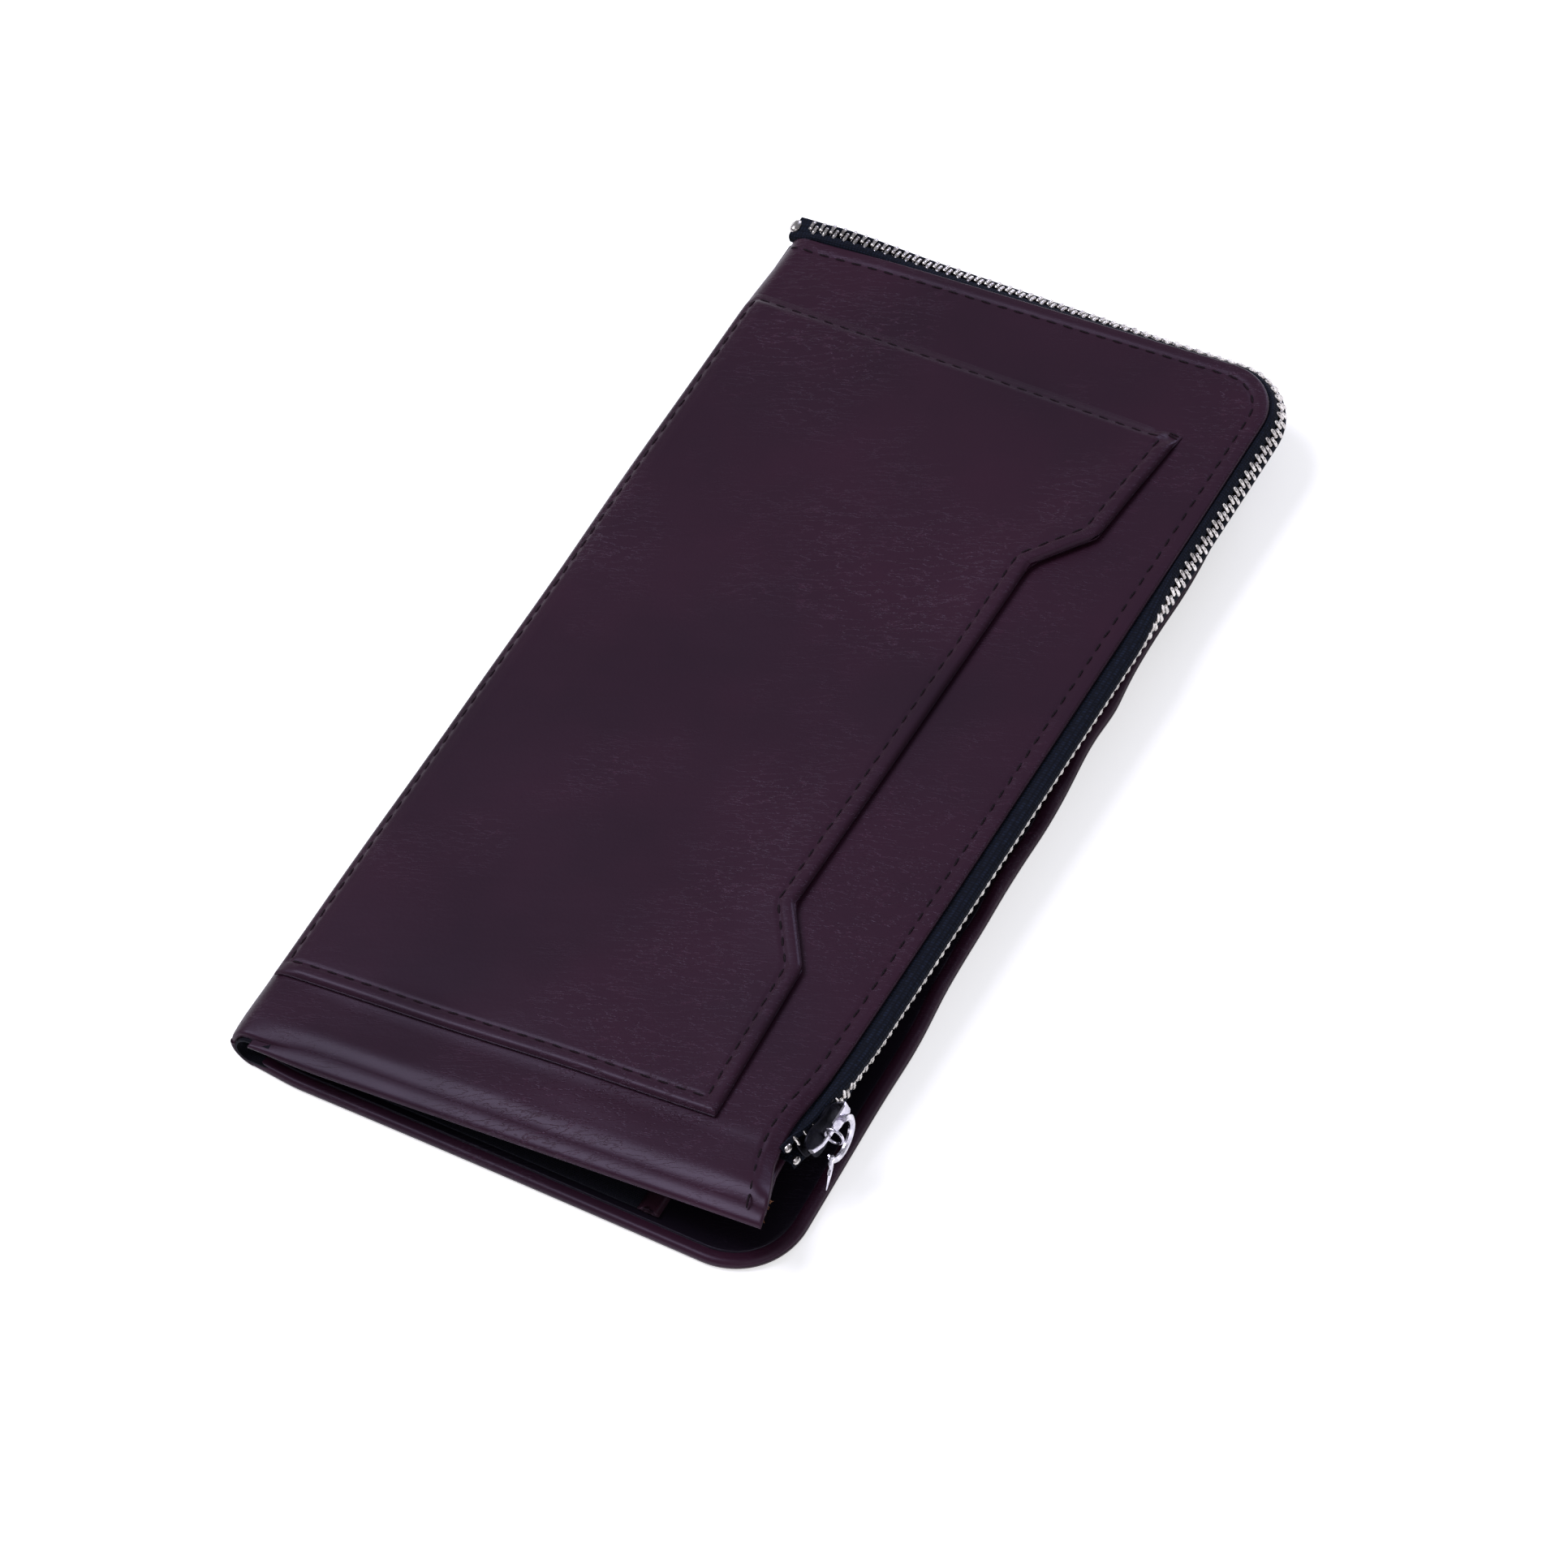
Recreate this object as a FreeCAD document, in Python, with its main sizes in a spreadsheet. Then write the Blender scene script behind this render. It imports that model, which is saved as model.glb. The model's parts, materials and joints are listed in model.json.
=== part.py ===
"""Long folding leather wallet whose front leaf is a zipped pouch.

The wallet lies closed on its back leaf. X runs from the spine fold (-X) to the zipped edge (+X), Y runs along
the spine with the slider at the -Y end, and +Z is up. The origin is the middle of the back cover's resting face.
Front leaf pieces are drawn in the leaf's own frame, whose origin is the centre of the spine roll, and are then
tilted about the spine by opening_tilt. All lengths are in millimetres and all angles in degrees.
"""
import FreeCAD, Part
import math
import os
import Sketcher

SIZES = [
    # whole wallet
    ("leaf_length", 193.5),
    ("front_width", 92.0),
    ("back_width_near", 94.6),
    ("back_width_far", 89.0),
    ("roll_radius", 4.1),
    ("opening_tilt", 4.4),
    ("leather", 1.2),
    ("front_corner_radius", 10.5),
    ("fold_corner_radius", 2.0),
    ("back_corner_radius", 13.0),
    ("fold_gap_angle", 6.0),
    ("fold_angle", 45.0),
    # back leaf
    ("rim_width", 6.0),
    ("board_thickness", 0.5),
    ("board_clearance", 0.15),
    ("facing_thickness", 0.5),
    ("facing_inset", 2.6),
    ("note_panel_width", 74.3),
    ("note_panel_inset", 3.2),
    ("note_panel_start", 1.6),
    ("fabric_thickness", 0.4),
    ("layer_gap", 0.12),
    ("face_gap", 0.02),
    ("binding_width", 3.0),
    ("binding_thickness", 1.05),
    ("binding_gap", 0.02),
    ("slot_end_inset", 10.0),
    ("slot_start", 7.0),
    ("slot_setback", 8.0),
    ("slot_step", 10.0),
    ("slot_leather", 0.45),
    # spine
    ("spine_lining_gap", 0.05),
    # pouch
    ("pouch_spine_slack", 0.0),
    ("pouch_edge_thickness", 6.4),
    ("pouch_back_leather", 0.9),
    ("pouch_back_overhang", 0.4),
    ("lining_inset", 9.6),
    ("lining_end_inset", 3.0),
    ("gusset_thickness", 0.6),
    ("gusset_inset", 1.2),
    ("gusset_clearance", 0.08),
    # slip pocket
    ("pocket_leather", 1.2),
    ("pocket_gap", 0.1),
    ("pocket_wrap_angle", 35.0),
    ("pocket_near_margin", 15.0),
    ("pocket_far_margin", 15.4),
    ("pocket_far_margin_free", 18.4),
    ("mouth_gap_near", 13.2),
    ("mouth_gap_near_notch", 14.4),
    ("mouth_gap_inner_near", 22.0),
    ("mouth_gap_inner_far", 20.9),
    ("mouth_gap_far_notch", 13.3),
    ("mouth_gap_far", 10.9),
    ("notch_near_outer", 47.3),
    ("notch_near_inner", 58.7),
    ("notch_far_inner", 139.0),
    ("notch_far_outer", 148.5),
    # seams
    ("stitch_pitch", 3.15),
    ("stitch_length", 2.3),
    ("stitch_width", 0.5),
    ("stitch_height", 0.25),
    ("seam_inset", 2.75),
    ("seam_start", 0.5),
    ("pocket_seam_inset", 2.7),
    # zipper
    ("chain_offset", 1.6),
    ("chain_drop", 3.2),
    ("chain_tilt", 25.0),
    ("tape_thickness", 0.35),
    ("tape_hidden_width", 9.0),
    ("tape_ledge", 0.5),
    ("tape_tail", 1.5),
    ("tape_side_gap", 0.05),
    ("tape_slider_gap", 0.3),
    ("tooth_pitch", 2.0),
    ("tooth_length", 0.9),
    ("tooth_width", 1.7),
    ("tooth_half_thickness", 0.6),
    ("tooth_mesh", 0.55),
    ("tooth_clearance", 0.02),
    ("chain_near_end", 16.5),
    ("chain_far_end", 2.0),
    ("stop_proud", 0.1),
    ("stop_lap", 0.3),
    ("far_stop_reach", 0.6),
    ("tape_far_gap", 0.3),
    ("row_spread", 1.2),
    ("spread_lead", 1.0),
    ("spread_share", 0.45),
    ("stop_length", 1.8),
    # slider
    ("slider_position", 22.0),
    ("slider_length", 10.4),
    ("slider_nose_width", 4.6),
    ("slider_tail_width", 3.4),
    ("slider_nose_chamfer", 0.8),
    ("slider_nose_length", 3.2),
    ("slider_waist", 0.6),
    ("wing_thickness", 0.5),
    ("wing_clearance", 0.15),
    ("lip_depth", 0.4),
    ("lip_width", 0.32),
    ("lip_start", 0.8),
    ("post_length", 2.2),
    ("post_width", 1.2),
    ("post_setback", 0.4),
    ("bridge_length", 10.4),
    ("bridge_height", 1.75),
    ("bridge_metal", 0.5),
    ("bridge_plate_length", 4.8),
    ("bridge_plate_width", 1.7),
    ("bridge_bar_width", 0.7),
    ("bridge_end_inset", 0.3),
    ("bridge_lap", 0.5),
    ("bridge_nose_reach", 0.1),
    ("bridge_seat_gap", 0.01),
    # pull
    ("link_radius", 1.65),
    ("link_wire", 0.25),
    ("link_clearance", 0.05),
    ("link_hang_angle", 35.0),
    ("link_offset", 1.0),
    ("pull_ring_radius", 3.6),
    ("pull_ring_wire", 0.52),
    ("pull_bar_wire", 0.35),
    ("pull_bar_slack", 0.15),
    ("pull_open_angle", 132.0),
    ("pull_turn", 45.0),
    ("pull_tail_length", 6.0),
    ("pull_tail_radius", 0.55),
    ("pull_tip_radius", 0.3),
    ("pull_tail_lean", 0.05),
    ("pull_knuckle_extra", 0.02),
]

NUDGE = 1e-4
CARD_SLOTS = ("card_slot_lower", "card_slot_middle", "card_slot_upper")

doc = FreeCAD.newDocument("folding_pouch_wallet")
sheet = doc.addObject("Spreadsheet::Sheet", "Sizes")
for row, (alias, value) in enumerate(SIZES, start=1):
    sheet.set(f"A{row}", alias)
    sheet.set(f"B{row}", str(value))
    sheet.setAlias(f"B{row}", alias)
doc.recompute()

parts = {}


# ---------------------------------------------------------------- expressions
def sized(expression):
    """The expression with every size name turned into a reference to the sheet."""
    names = sorted((alias for alias, _ in SIZES), key=len, reverse=True)
    text = ""
    word = ""
    for letter in expression + " ":
        if letter.isalnum() or letter == "_":
            word += letter
            continue
        text += f"Sizes.{word}" if word in names else word
        text += letter
        word = ""
    return text.strip()


def value_of(expression):
    """The number that an expression has with the sheet's present sizes."""
    result = sheet.evalExpression(sized(expression))
    return float(getattr(result, "Value", result))


def bind(thing, prop, expression):
    thing.setExpression(prop, sized(expression))


# shared lengths, as expressions
HALF_LENGTH = "leaf_length / 2"
SPINE_X = "(-back_width_near / 2)"
FRONT_UNDERSIDE = "(roll_radius - leather)"
CHAIN_X = "(front_width + chain_offset)"
CHAIN_Z = "(roll_radius - chain_drop)"
ROW_REACH = "(tooth_width - tooth_mesh)"
POUCH_SPINE = "(leather + pouch_back_leather + 2 * fabric_thickness + pouch_spine_slack)"
POUCH_TAPER = f"atan((pouch_edge_thickness - {POUCH_SPINE}) / front_width)"
FACING_Z = "(leather + board_thickness)"
NOTE_Z = f"({FACING_Z} + facing_thickness + layer_gap)"
SLOT_Z = f"({NOTE_Z} + fabric_thickness + layer_gap)"
BOARD_Z = "leather"


# ---------------------------------------------------------------- placing
def on_back_leaf(thing):
    """Back leaf pieces are drawn from the spine roll's centre line, at their height above the resting face."""
    bind(thing, "Placement.Base.x", SPINE_X)


def on_spine(thing):
    bind(thing, "Placement.Base.x", SPINE_X)
    bind(thing, "Placement.Base.z", "roll_radius")


def on_front_leaf(thing, x="0", y="0", z="0", turn="0"):
    """Puts a piece at x, y, z of the front leaf's frame, turned by the leaf's tilt and a further turn about Y."""
    thing.Placement = FreeCAD.Placement(FreeCAD.Vector(), FreeCAD.Rotation(FreeCAD.Vector(0, -1, 0), 1))
    tilt = "(opening_tilt * 1 deg)"
    bind(thing, "Placement.Base.x", f"{SPINE_X} + ({x}) * cos{tilt} - ({z}) * sin{tilt}")
    bind(thing, "Placement.Base.y", y)
    bind(thing, "Placement.Base.z", f"roll_radius + ({x}) * sin{tilt} + ({z}) * cos{tilt}")
    bind(thing, "Placement.Rotation.Angle", f"{tilt} + ({turn}) * 1 deg")


# ---------------------------------------------------------------- bodies and sketches
def new_body(label):
    body = doc.addObject("PartDesign::Body", label)
    body.Label = label
    return body


def new_sketch(body, plane, offset="0"):
    sketch = body.newObject("Sketcher::SketchObject", f"{body.Label}_sketch")
    support = next(f for f in body.Origin.OriginFeatures if f.Role == plane)
    sketch.AttachmentSupport = [(support, "")]
    sketch.MapMode = "FlatFace"
    bind(sketch, "AttachmentOffset.Base.z", offset)
    return sketch


def fix_point(sketch, geometry, end, x, y):
    """Dimensions one end of a sketch element from the sketch's origin."""
    for kind, expression in (("DistanceX", x), ("DistanceY", y)):
        if expression is None:
            continue
        index = sketch.addConstraint(Sketcher.Constraint(kind, -1, 1, geometry, end, value_of(expression)))
        bind(sketch, f"Constraints[{index}]", expression)


def outline(body, corners, plane="XY_Plane", offset="0"):
    """A closed sketch of straight lines through corners given as pairs of expressions."""
    sketch = new_sketch(body, plane, offset)
    points = [FreeCAD.Vector(value_of(x), value_of(y), 0) for x, y in corners]
    count = len(points)
    for i in range(count):
        sketch.addGeometry(Part.LineSegment(points[i], points[(i + 1) % count]))
    for i in range(count):
        sketch.addConstraint(Sketcher.Constraint("Coincident", i, 2, (i + 1) % count, 1))
    for i, (x, y) in enumerate(corners):
        fix_point(sketch, i, 1, x, y)
    return sketch


def pad(body, sketch, length, symmetric=False):
    feature = body.newObject("PartDesign::Pad", f"{body.Label}_pad")
    feature.Profile = sketch
    feature.SideType = "Symmetric" if symmetric else "One side"
    bind(feature, "Length", length)
    return feature


def plate(label, corners, z, thickness, plane="XY_Plane"):
    """A flat piece cut to an outline, from z upwards."""
    body = new_body(label)
    pad(body, outline(body, corners, plane, z), thickness)
    return body


def round_edges(body, corners, radius):
    """Rounds the upright edges that stand at the given corners of a flat piece."""
    doc.recompute()
    base = body.Tip
    places = [FreeCAD.Vector(value_of(x), value_of(y), 0) for x, y in corners]
    names = []
    for i, edge in enumerate(base.Shape.Edges, start=1):
        low, high = edge.Vertexes[0].Point, edge.Vertexes[-1].Point
        flat = FreeCAD.Vector(low.x, low.y, 0)
        upright = abs(low.x - high.x) < NUDGE and abs(low.y - high.y) < NUDGE
        if upright and any(flat.distanceToPoint(place) < 0.01 for place in places):
            names.append(f"Edge{i}")
    fillet = body.newObject("PartDesign::Fillet", f"{body.Label}_corners")
    fillet.Base = (base, names)
    bind(fillet, "Radius", radius)
    return fillet


def add_roll(body, outer, thickness, start, end):
    """Adds a band of the spine roll, between two angles measured from its bottom, round by its -X side."""
    inner = f"({outer} - {thickness})"
    sketch = new_sketch(body, "XZ_Plane")
    spans = []
    for radius in (outer, inner):
        circle = Part.Circle(FreeCAD.Vector(), FreeCAD.Vector(0, 0, 1), value_of(radius))
        low = math.radians(270 - value_of(end))
        high = math.radians(270 - value_of(start))
        spans.append(Part.ArcOfCircle(circle, low, high))
    sketch.addGeometry(spans[0])
    sketch.addGeometry(spans[1])
    sketch.addGeometry(Part.LineSegment(spans[0].StartPoint, spans[1].StartPoint))
    sketch.addGeometry(Part.LineSegment(spans[0].EndPoint, spans[1].EndPoint))
    for arc, radius in ((0, outer), (1, inner)):
        sketch.addConstraint(Sketcher.Constraint("Coincident", arc, 3, -1, 1))
        index = sketch.addConstraint(Sketcher.Constraint("Radius", arc, value_of(radius)))
        bind(sketch, f"Constraints[{index}]", radius)
        fix_point(sketch, arc, 1, f"-({radius}) * sin(({end}) * 1 deg)", None)
        fix_point(sketch, arc, 2, f"-({radius}) * sin(({start}) * 1 deg)", None)
    for line, end_of_arc in ((2, 1), (3, 2)):
        sketch.addConstraint(Sketcher.Constraint("Coincident", line, 1, 0, end_of_arc))
        sketch.addConstraint(Sketcher.Constraint("Coincident", line, 2, 1, end_of_arc))
    return pad(body, sketch, "leaf_length", symmetric=True)


def keep(thing):
    parts[thing.Label] = thing
    return thing


# ---------------------------------------------------------------- back leaf
def back_outline(left, inset):
    """The back leaf's outline, its free edge leaning in towards the far end, drawn in by an inset."""
    return [
        (left, f"-{HALF_LENGTH} + {inset}"),
        (f"back_width_near - {inset}", f"-{HALF_LENGTH} + {inset}"),
        (f"back_width_far - {inset}", f"{HALF_LENGTH} - {inset}"),
        (left, f"{HALF_LENGTH} - {inset}"),
    ]


def make_back_cover():
    """Outer leather of the back leaf: a flat panel with a raised turned rim, and the lower part of the roll."""
    body = new_body("back_cover")
    pad(body, outline(body, back_outline("0", "0")), FACING_Z)
    free_corners = back_outline("0", "0")[1:3]
    round_edges(body, free_corners, "back_corner_radius")
    doc.recompute()
    full = body.Shape.Volume
    recess = outline(body, back_outline("rim_width", "rim_width"), offset="leather")
    pocket = body.newObject("PartDesign::Pocket", "back_cover_recess")
    pocket.Profile = recess
    pocket.Reversed = True
    bind(pocket, "Length", "board_thickness")
    doc.recompute()
    if body.Shape.Volume > full - 1:
        raise RuntimeError("the back cover's recess cuts nothing")
    body.Placement = FreeCAD.Placement()
    on_back_leaf(body)
    roll = new_body("back_cover_roll")
    add_roll(roll, "roll_radius", "leather", "0", "fold_angle - fold_gap_angle / 2")
    on_spine(roll)
    cover = doc.addObject("Part::Fuse", "back_cover_whole")
    cover.Base = body
    cover.Tool = roll
    cover.Refine = True
    body.Label = "back_cover_flat"
    cover.Label = "back_cover"
    keep(cover)


def make_back_board():
    inset = "(rim_width + board_clearance)"
    body = plate("back_stiffener", back_outline(inset, inset), BOARD_Z, "board_thickness - face_gap")
    on_back_leaf(body)
    keep(body)


def make_back_facing():
    body = plate("back_inner_facing", back_outline("note_panel_start", "facing_inset"), FACING_Z,
                 "facing_thickness")
    corners = back_outline("note_panel_start", "facing_inset")[1:3]
    round_edges(body, corners, "back_corner_radius - facing_inset")
    on_back_leaf(body)
    keep(body)


def strip(label, left, right, end_inset, z, thickness):
    """A rectangular piece of the back leaf, between two distances from the roll's centre line."""
    corners = [
        (left, f"-{HALF_LENGTH} + {end_inset}"),
        (right, f"-{HALF_LENGTH} + {end_inset}"),
        (right, f"{HALF_LENGTH} - {end_inset}"),
        (left, f"{HALF_LENGTH} - {end_inset}"),
    ]
    body = plate(label, corners, z, thickness)
    on_back_leaf(body)
    return keep(body)


def make_note_pocket():
    strip("note_pocket_panel", "note_panel_start", "note_panel_width - binding_width", "note_panel_inset",
          NOTE_Z, "fabric_thickness")
    strip("note_pocket_binding", "note_panel_width - binding_width + binding_gap", "note_panel_width",
          "note_panel_inset", f"{FACING_Z} + facing_thickness + binding_gap", "binding_thickness")


def make_card_slots():
    """Card slots lie in steps on the note pocket, each one further from the free edge than the one below."""
    for level, label in enumerate(CARD_SLOTS):
        right = f"note_panel_width - slot_setback - {level} * slot_step"
        strip(label, "slot_start", right, "slot_end_inset", f"{SLOT_Z} + {level} * (slot_leather + layer_gap)",
              "slot_leather")


# ---------------------------------------------------------------- spine
def make_spine():
    start = "fold_angle + fold_gap_angle / 2"
    end = "180 - fold_angle - fold_gap_angle / 2"
    body = new_body("spine_leather")
    add_roll(body, "roll_radius", "leather", start, end)
    on_spine(body)
    keep(body)
    lining = new_body("spine_lining")
    add_roll(lining, "(roll_radius - leather - spine_lining_gap)", "fabric_thickness", start, end)
    on_spine(lining)
    keep(lining)


# ---------------------------------------------------------------- front leaf panels
def front_outline(left, inset, near_inset):
    return [
        (left, f"-{HALF_LENGTH} + {near_inset}"),
        (f"front_width - {inset}", f"-{HALF_LENGTH} + {near_inset}"),
        (f"front_width - {inset}", f"{HALF_LENGTH} - {inset}"),
        (left, f"{HALF_LENGTH} - {inset}"),
    ]


def make_front_panel():
    """Outer leather of the pouch: a flat panel and the upper part of the spine roll."""
    body = new_body("front_panel")
    corners = front_outline("0", "0", "0")
    pad(body, outline(body, corners, offset=FRONT_UNDERSIDE), "leather")
    round_edges(body, corners[2:3], "front_corner_radius")
    round_edges(body, corners[1:2], "fold_corner_radius")
    add_roll(body, "roll_radius", "leather", "180 - fold_angle + fold_gap_angle / 2 + opening_tilt", "180")
    on_front_leaf(body)
    keep(body)


def make_front_lining():
    corners = front_outline("lining_end_inset", "lining_inset", "lining_end_inset")
    body = plate("pouch_front_lining", corners, f"{FRONT_UNDERSIDE} - fabric_thickness", "fabric_thickness")
    on_front_leaf(body)
    keep(body)


def make_pouch_back():
    """Inner leather face of the pouch and its lining, spreading from the front panel towards the zipped edge."""
    reach = "pouch_back_overhang"
    corners = front_outline("0.4", f"-{reach}", "0")
    body = plate("pouch_back_panel", corners, "0", "pouch_back_leather")
    round_edges(body, corners[2:3], "front_corner_radius + pouch_back_overhang")
    round_edges(body, corners[1:2], "fold_corner_radius")
    turn = f"-{POUCH_TAPER} / 1 deg"
    on_front_leaf(body, z=f"roll_radius - {POUCH_SPINE}", turn=turn)
    keep(body)
    corners = front_outline("lining_end_inset", "lining_inset", "lining_end_inset")
    lining = plate("pouch_back_lining", corners, "pouch_back_leather + face_gap", "fabric_thickness")
    on_front_leaf(lining, z=f"roll_radius - {POUCH_SPINE}", turn=turn)
    keep(lining)


def make_gusset():
    """The thin wedge-shaped wall that closes the pouch along its folded end."""
    body = new_body("pouch_end_gusset")
    rise = f"(pouch_edge_thickness - {POUCH_SPINE}) / front_width"
    left = "lining_end_inset"
    right = "(front_width - fold_corner_radius)"
    top = f"{FRONT_UNDERSIDE} - gusset_clearance"
    floor = f"(roll_radius - {POUCH_SPINE} + pouch_back_leather + 2 * gusset_clearance)"
    corners = [
        (left, f"{floor} - {rise} * {left}"),
        (right, f"{floor} - {rise} * {right}"),
        (right, top),
        (left, top),
    ]
    sketch = outline(body, corners, "XZ_Plane", f"{HALF_LENGTH} - gusset_inset - gusset_thickness")
    pad(body, sketch, "gusset_thickness")
    on_front_leaf(body)
    keep(body)


# ---------------------------------------------------------------- slip pocket
def pocket_mouth():
    """Corners of the pocket's stepped open side, from the near end to the far end, in the front leaf's frame."""
    steps = [
        ("mouth_gap_near", "pocket_near_margin"),
        ("mouth_gap_near_notch", "notch_near_outer"),
        ("mouth_gap_inner_near", "notch_near_inner"),
        ("mouth_gap_inner_far", "notch_far_inner"),
        ("mouth_gap_far_notch", "notch_far_outer"),
        ("mouth_gap_far", "leaf_length - pocket_far_margin_free"),
    ]
    return [(f"front_width - {gap}", f"-{HALF_LENGTH} + {along}") for gap, along in steps]


def make_slip_pocket():
    """Applied leather pocket, open along its stepped side, whose closed side wraps the shoulder of the roll."""
    body = new_body("slip_pocket")
    corners = [("0", f"-{HALF_LENGTH} + pocket_near_margin")] + pocket_mouth()
    corners.append(("0", f"{HALF_LENGTH} - pocket_far_margin"))
    pad(body, outline(body, corners, offset="roll_radius + pocket_gap"), "pocket_leather")
    outer = "(roll_radius + pocket_gap + pocket_leather)"
    wrap = add_roll(body, outer, "pocket_leather", "180 - pocket_wrap_angle", "180")
    middle = "(pocket_near_margin + leaf_length - pocket_far_margin) / 2"
    bind(wrap, "Length", "leaf_length - pocket_near_margin - pocket_far_margin")
    bind(wrap.Profile[0], "AttachmentOffset.Base.z", f"{HALF_LENGTH} - {middle}")
    on_front_leaf(body)
    keep(body)


# ---------------------------------------------------------------- stitching
def front_leaf_matrix():
    """Placement of the front leaf's frame in the wallet's frame, for shapes that are set directly."""
    turn = FreeCAD.Rotation(FreeCAD.Vector(0, -1, 0), value_of("opening_tilt"))
    return FreeCAD.Placement(FreeCAD.Vector(value_of(SPINE_X), 0, value_of("roll_radius")), turn)


def stitch_row(start, end, top):
    """Stitches laid end to end between two points of a face, evenly spaced at about the stitch pitch."""
    run = end - start
    count = max(1, round(run.Length / value_of("stitch_pitch")))
    length, width = value_of("stitch_length"), value_of("stitch_width")
    turn = FreeCAD.Rotation(FreeCAD.Vector(1, 0, 0), run)
    made = []
    for i in range(count):
        middle = start + run * ((i + 0.5) / count)
        box = Part.makeBox(length, width, value_of("stitch_height"), FreeCAD.Vector(-length / 2, -width / 2, 0))
        box.Placement = FreeCAD.Placement(FreeCAD.Vector(middle.x, middle.y, top), turn)
        made.append(box)
    return made


def feature_of(label, solids):
    """A piece made of several separate solids, set in the front leaf's frame and tilted with the leaf."""
    thing = doc.addObject("Part::Feature", label)
    thing.Label = label
    thing.Shape = Part.makeCompound(solids)
    thing.Placement = front_leaf_matrix()
    return keep(thing)


def make_front_seam():
    """Seam along the zipped sides of the front panel, following its round corner."""
    inset = value_of("seam_inset")
    start = value_of("seam_start")
    half = value_of(HALF_LENGTH)
    right = value_of("front_width") - inset
    far = half - inset
    radius = value_of("front_corner_radius") - inset
    top = value_of("roll_radius")
    solids = stitch_row(FreeCAD.Vector(start, far, 0), FreeCAD.Vector(right - radius, far, 0), top)
    solids += stitch_row(FreeCAD.Vector(right, far - radius, 0), FreeCAD.Vector(right, 2 - half, 0), top)
    count = max(1, round(radius * math.pi / 2 / value_of("stitch_pitch")))
    centre = FreeCAD.Vector(right - radius, far - radius, 0)
    for i in range(count):
        ends = []
        for share in (i / count, (i + 1) / count):
            angle = math.pi / 2 * (1 - share)
            ends.append(centre + FreeCAD.Vector(math.cos(angle), math.sin(angle), 0) * radius)
        solids += stitch_row(ends[0], ends[1], top)
    feature_of("front_seam_thread", solids)


def inset_corners(points, inset):
    """The corners of a closed anticlockwise outline moved inwards by an inset."""
    count = len(points)
    moved = []
    for i in range(count):
        before = (points[i] - points[i - 1]).normalize()
        after = (points[(i + 1) % count] - points[i]).normalize()
        left_before = FreeCAD.Vector(-before.y, before.x, 0)
        left_after = FreeCAD.Vector(-after.y, after.x, 0)
        share = inset / (1 + left_before.dot(left_after))
        moved.append(points[i] + (left_before + left_after) * share)
    return moved


def make_pocket_seam():
    inset = value_of("pocket_seam_inset")
    near = f"-{HALF_LENGTH} + pocket_near_margin"
    far = f"{HALF_LENGTH} - pocket_far_margin"
    corners = [("-pocket_seam_inset", near)] + pocket_mouth() + [("-pocket_seam_inset", far)]
    points = [FreeCAD.Vector(value_of(x), value_of(y), 0) for x, y in corners]
    line = inset_corners(points, inset)
    line[0].x += value_of("stitch_width")
    line[-1].x += value_of("stitch_width")
    top = value_of("roll_radius + pocket_gap + pocket_leather")
    solids = []
    for i, start in enumerate(line):
        end = line[(i + 1) % len(line)]
        trim = (end - start).normalize() * value_of("stitch_width")
        solids += stitch_row(start + trim, end - trim, top)
    feature_of("pocket_seam_thread", solids)


# ---------------------------------------------------------------- zipper
def tape_path(body, near_end):
    """The zipper's route in plan: up the free side, round the far corner and back along the far end."""
    sketch = new_sketch(body, "XY_Plane")
    radius = "(front_corner_radius + chain_offset)"
    bend_x = "(front_width - front_corner_radius)"
    bend_y = f"({HALF_LENGTH} - front_corner_radius)"
    start = FreeCAD.Vector(value_of(CHAIN_X), value_of(near_end), 0)
    turn_in = FreeCAD.Vector(value_of(CHAIN_X), value_of(bend_y), 0)
    centre = FreeCAD.Vector(value_of(bend_x), value_of(bend_y), 0)
    turn_out = FreeCAD.Vector(value_of(bend_x), value_of(f"{HALF_LENGTH} + chain_offset"), 0)
    end = FreeCAD.Vector(value_of("tape_far_gap"), turn_out.y, 0)
    sketch.addGeometry(Part.LineSegment(start, turn_in))
    circle = Part.Circle(centre, FreeCAD.Vector(0, 0, 1), value_of(radius))
    sketch.addGeometry(Part.ArcOfCircle(circle, 0, math.pi / 2))
    sketch.addGeometry(Part.LineSegment(turn_out, end))
    sketch.addConstraint(Sketcher.Constraint("Coincident", 0, 2, 1, 1))
    sketch.addConstraint(Sketcher.Constraint("Coincident", 1, 2, 2, 1))
    fix_point(sketch, 0, 1, CHAIN_X, near_end)
    fix_point(sketch, 0, 2, CHAIN_X, bend_y)
    fix_point(sketch, 1, 3, bend_x, bend_y)
    fix_point(sketch, 2, 1, bend_x, None)
    fix_point(sketch, 2, 2, "tape_far_gap", f"{HALF_LENGTH} + chain_offset")
    return sketch


def tape_pipe(body, profile, near_end):
    path = tape_path(body, near_end)
    section = outline(body, profile, "XZ_Plane", f"-({near_end})")
    pipe = body.newObject("PartDesign::AdditivePipe", f"{body.Label}_pipe")
    pipe.Profile = section
    pipe.Spine = (path, ["Edge1", "Edge2", "Edge3"])
    return pipe


def chain_point(across, outward):
    """A point of the chain's section: across it towards the front panel, and outwards from its middle."""
    turn = "(chain_tilt * 1 deg)"
    x = f"{CHAIN_X} + ({outward}) * cos{turn} - ({across}) * sin{turn}"
    z = f"{CHAIN_Z} + ({outward}) * sin{turn} + ({across}) * cos{turn}"
    return x, z


SLIDER_REAR = f"(-{HALF_LENGTH} + slider_position + slider_length / 2 + tape_slider_gap)"


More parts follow.
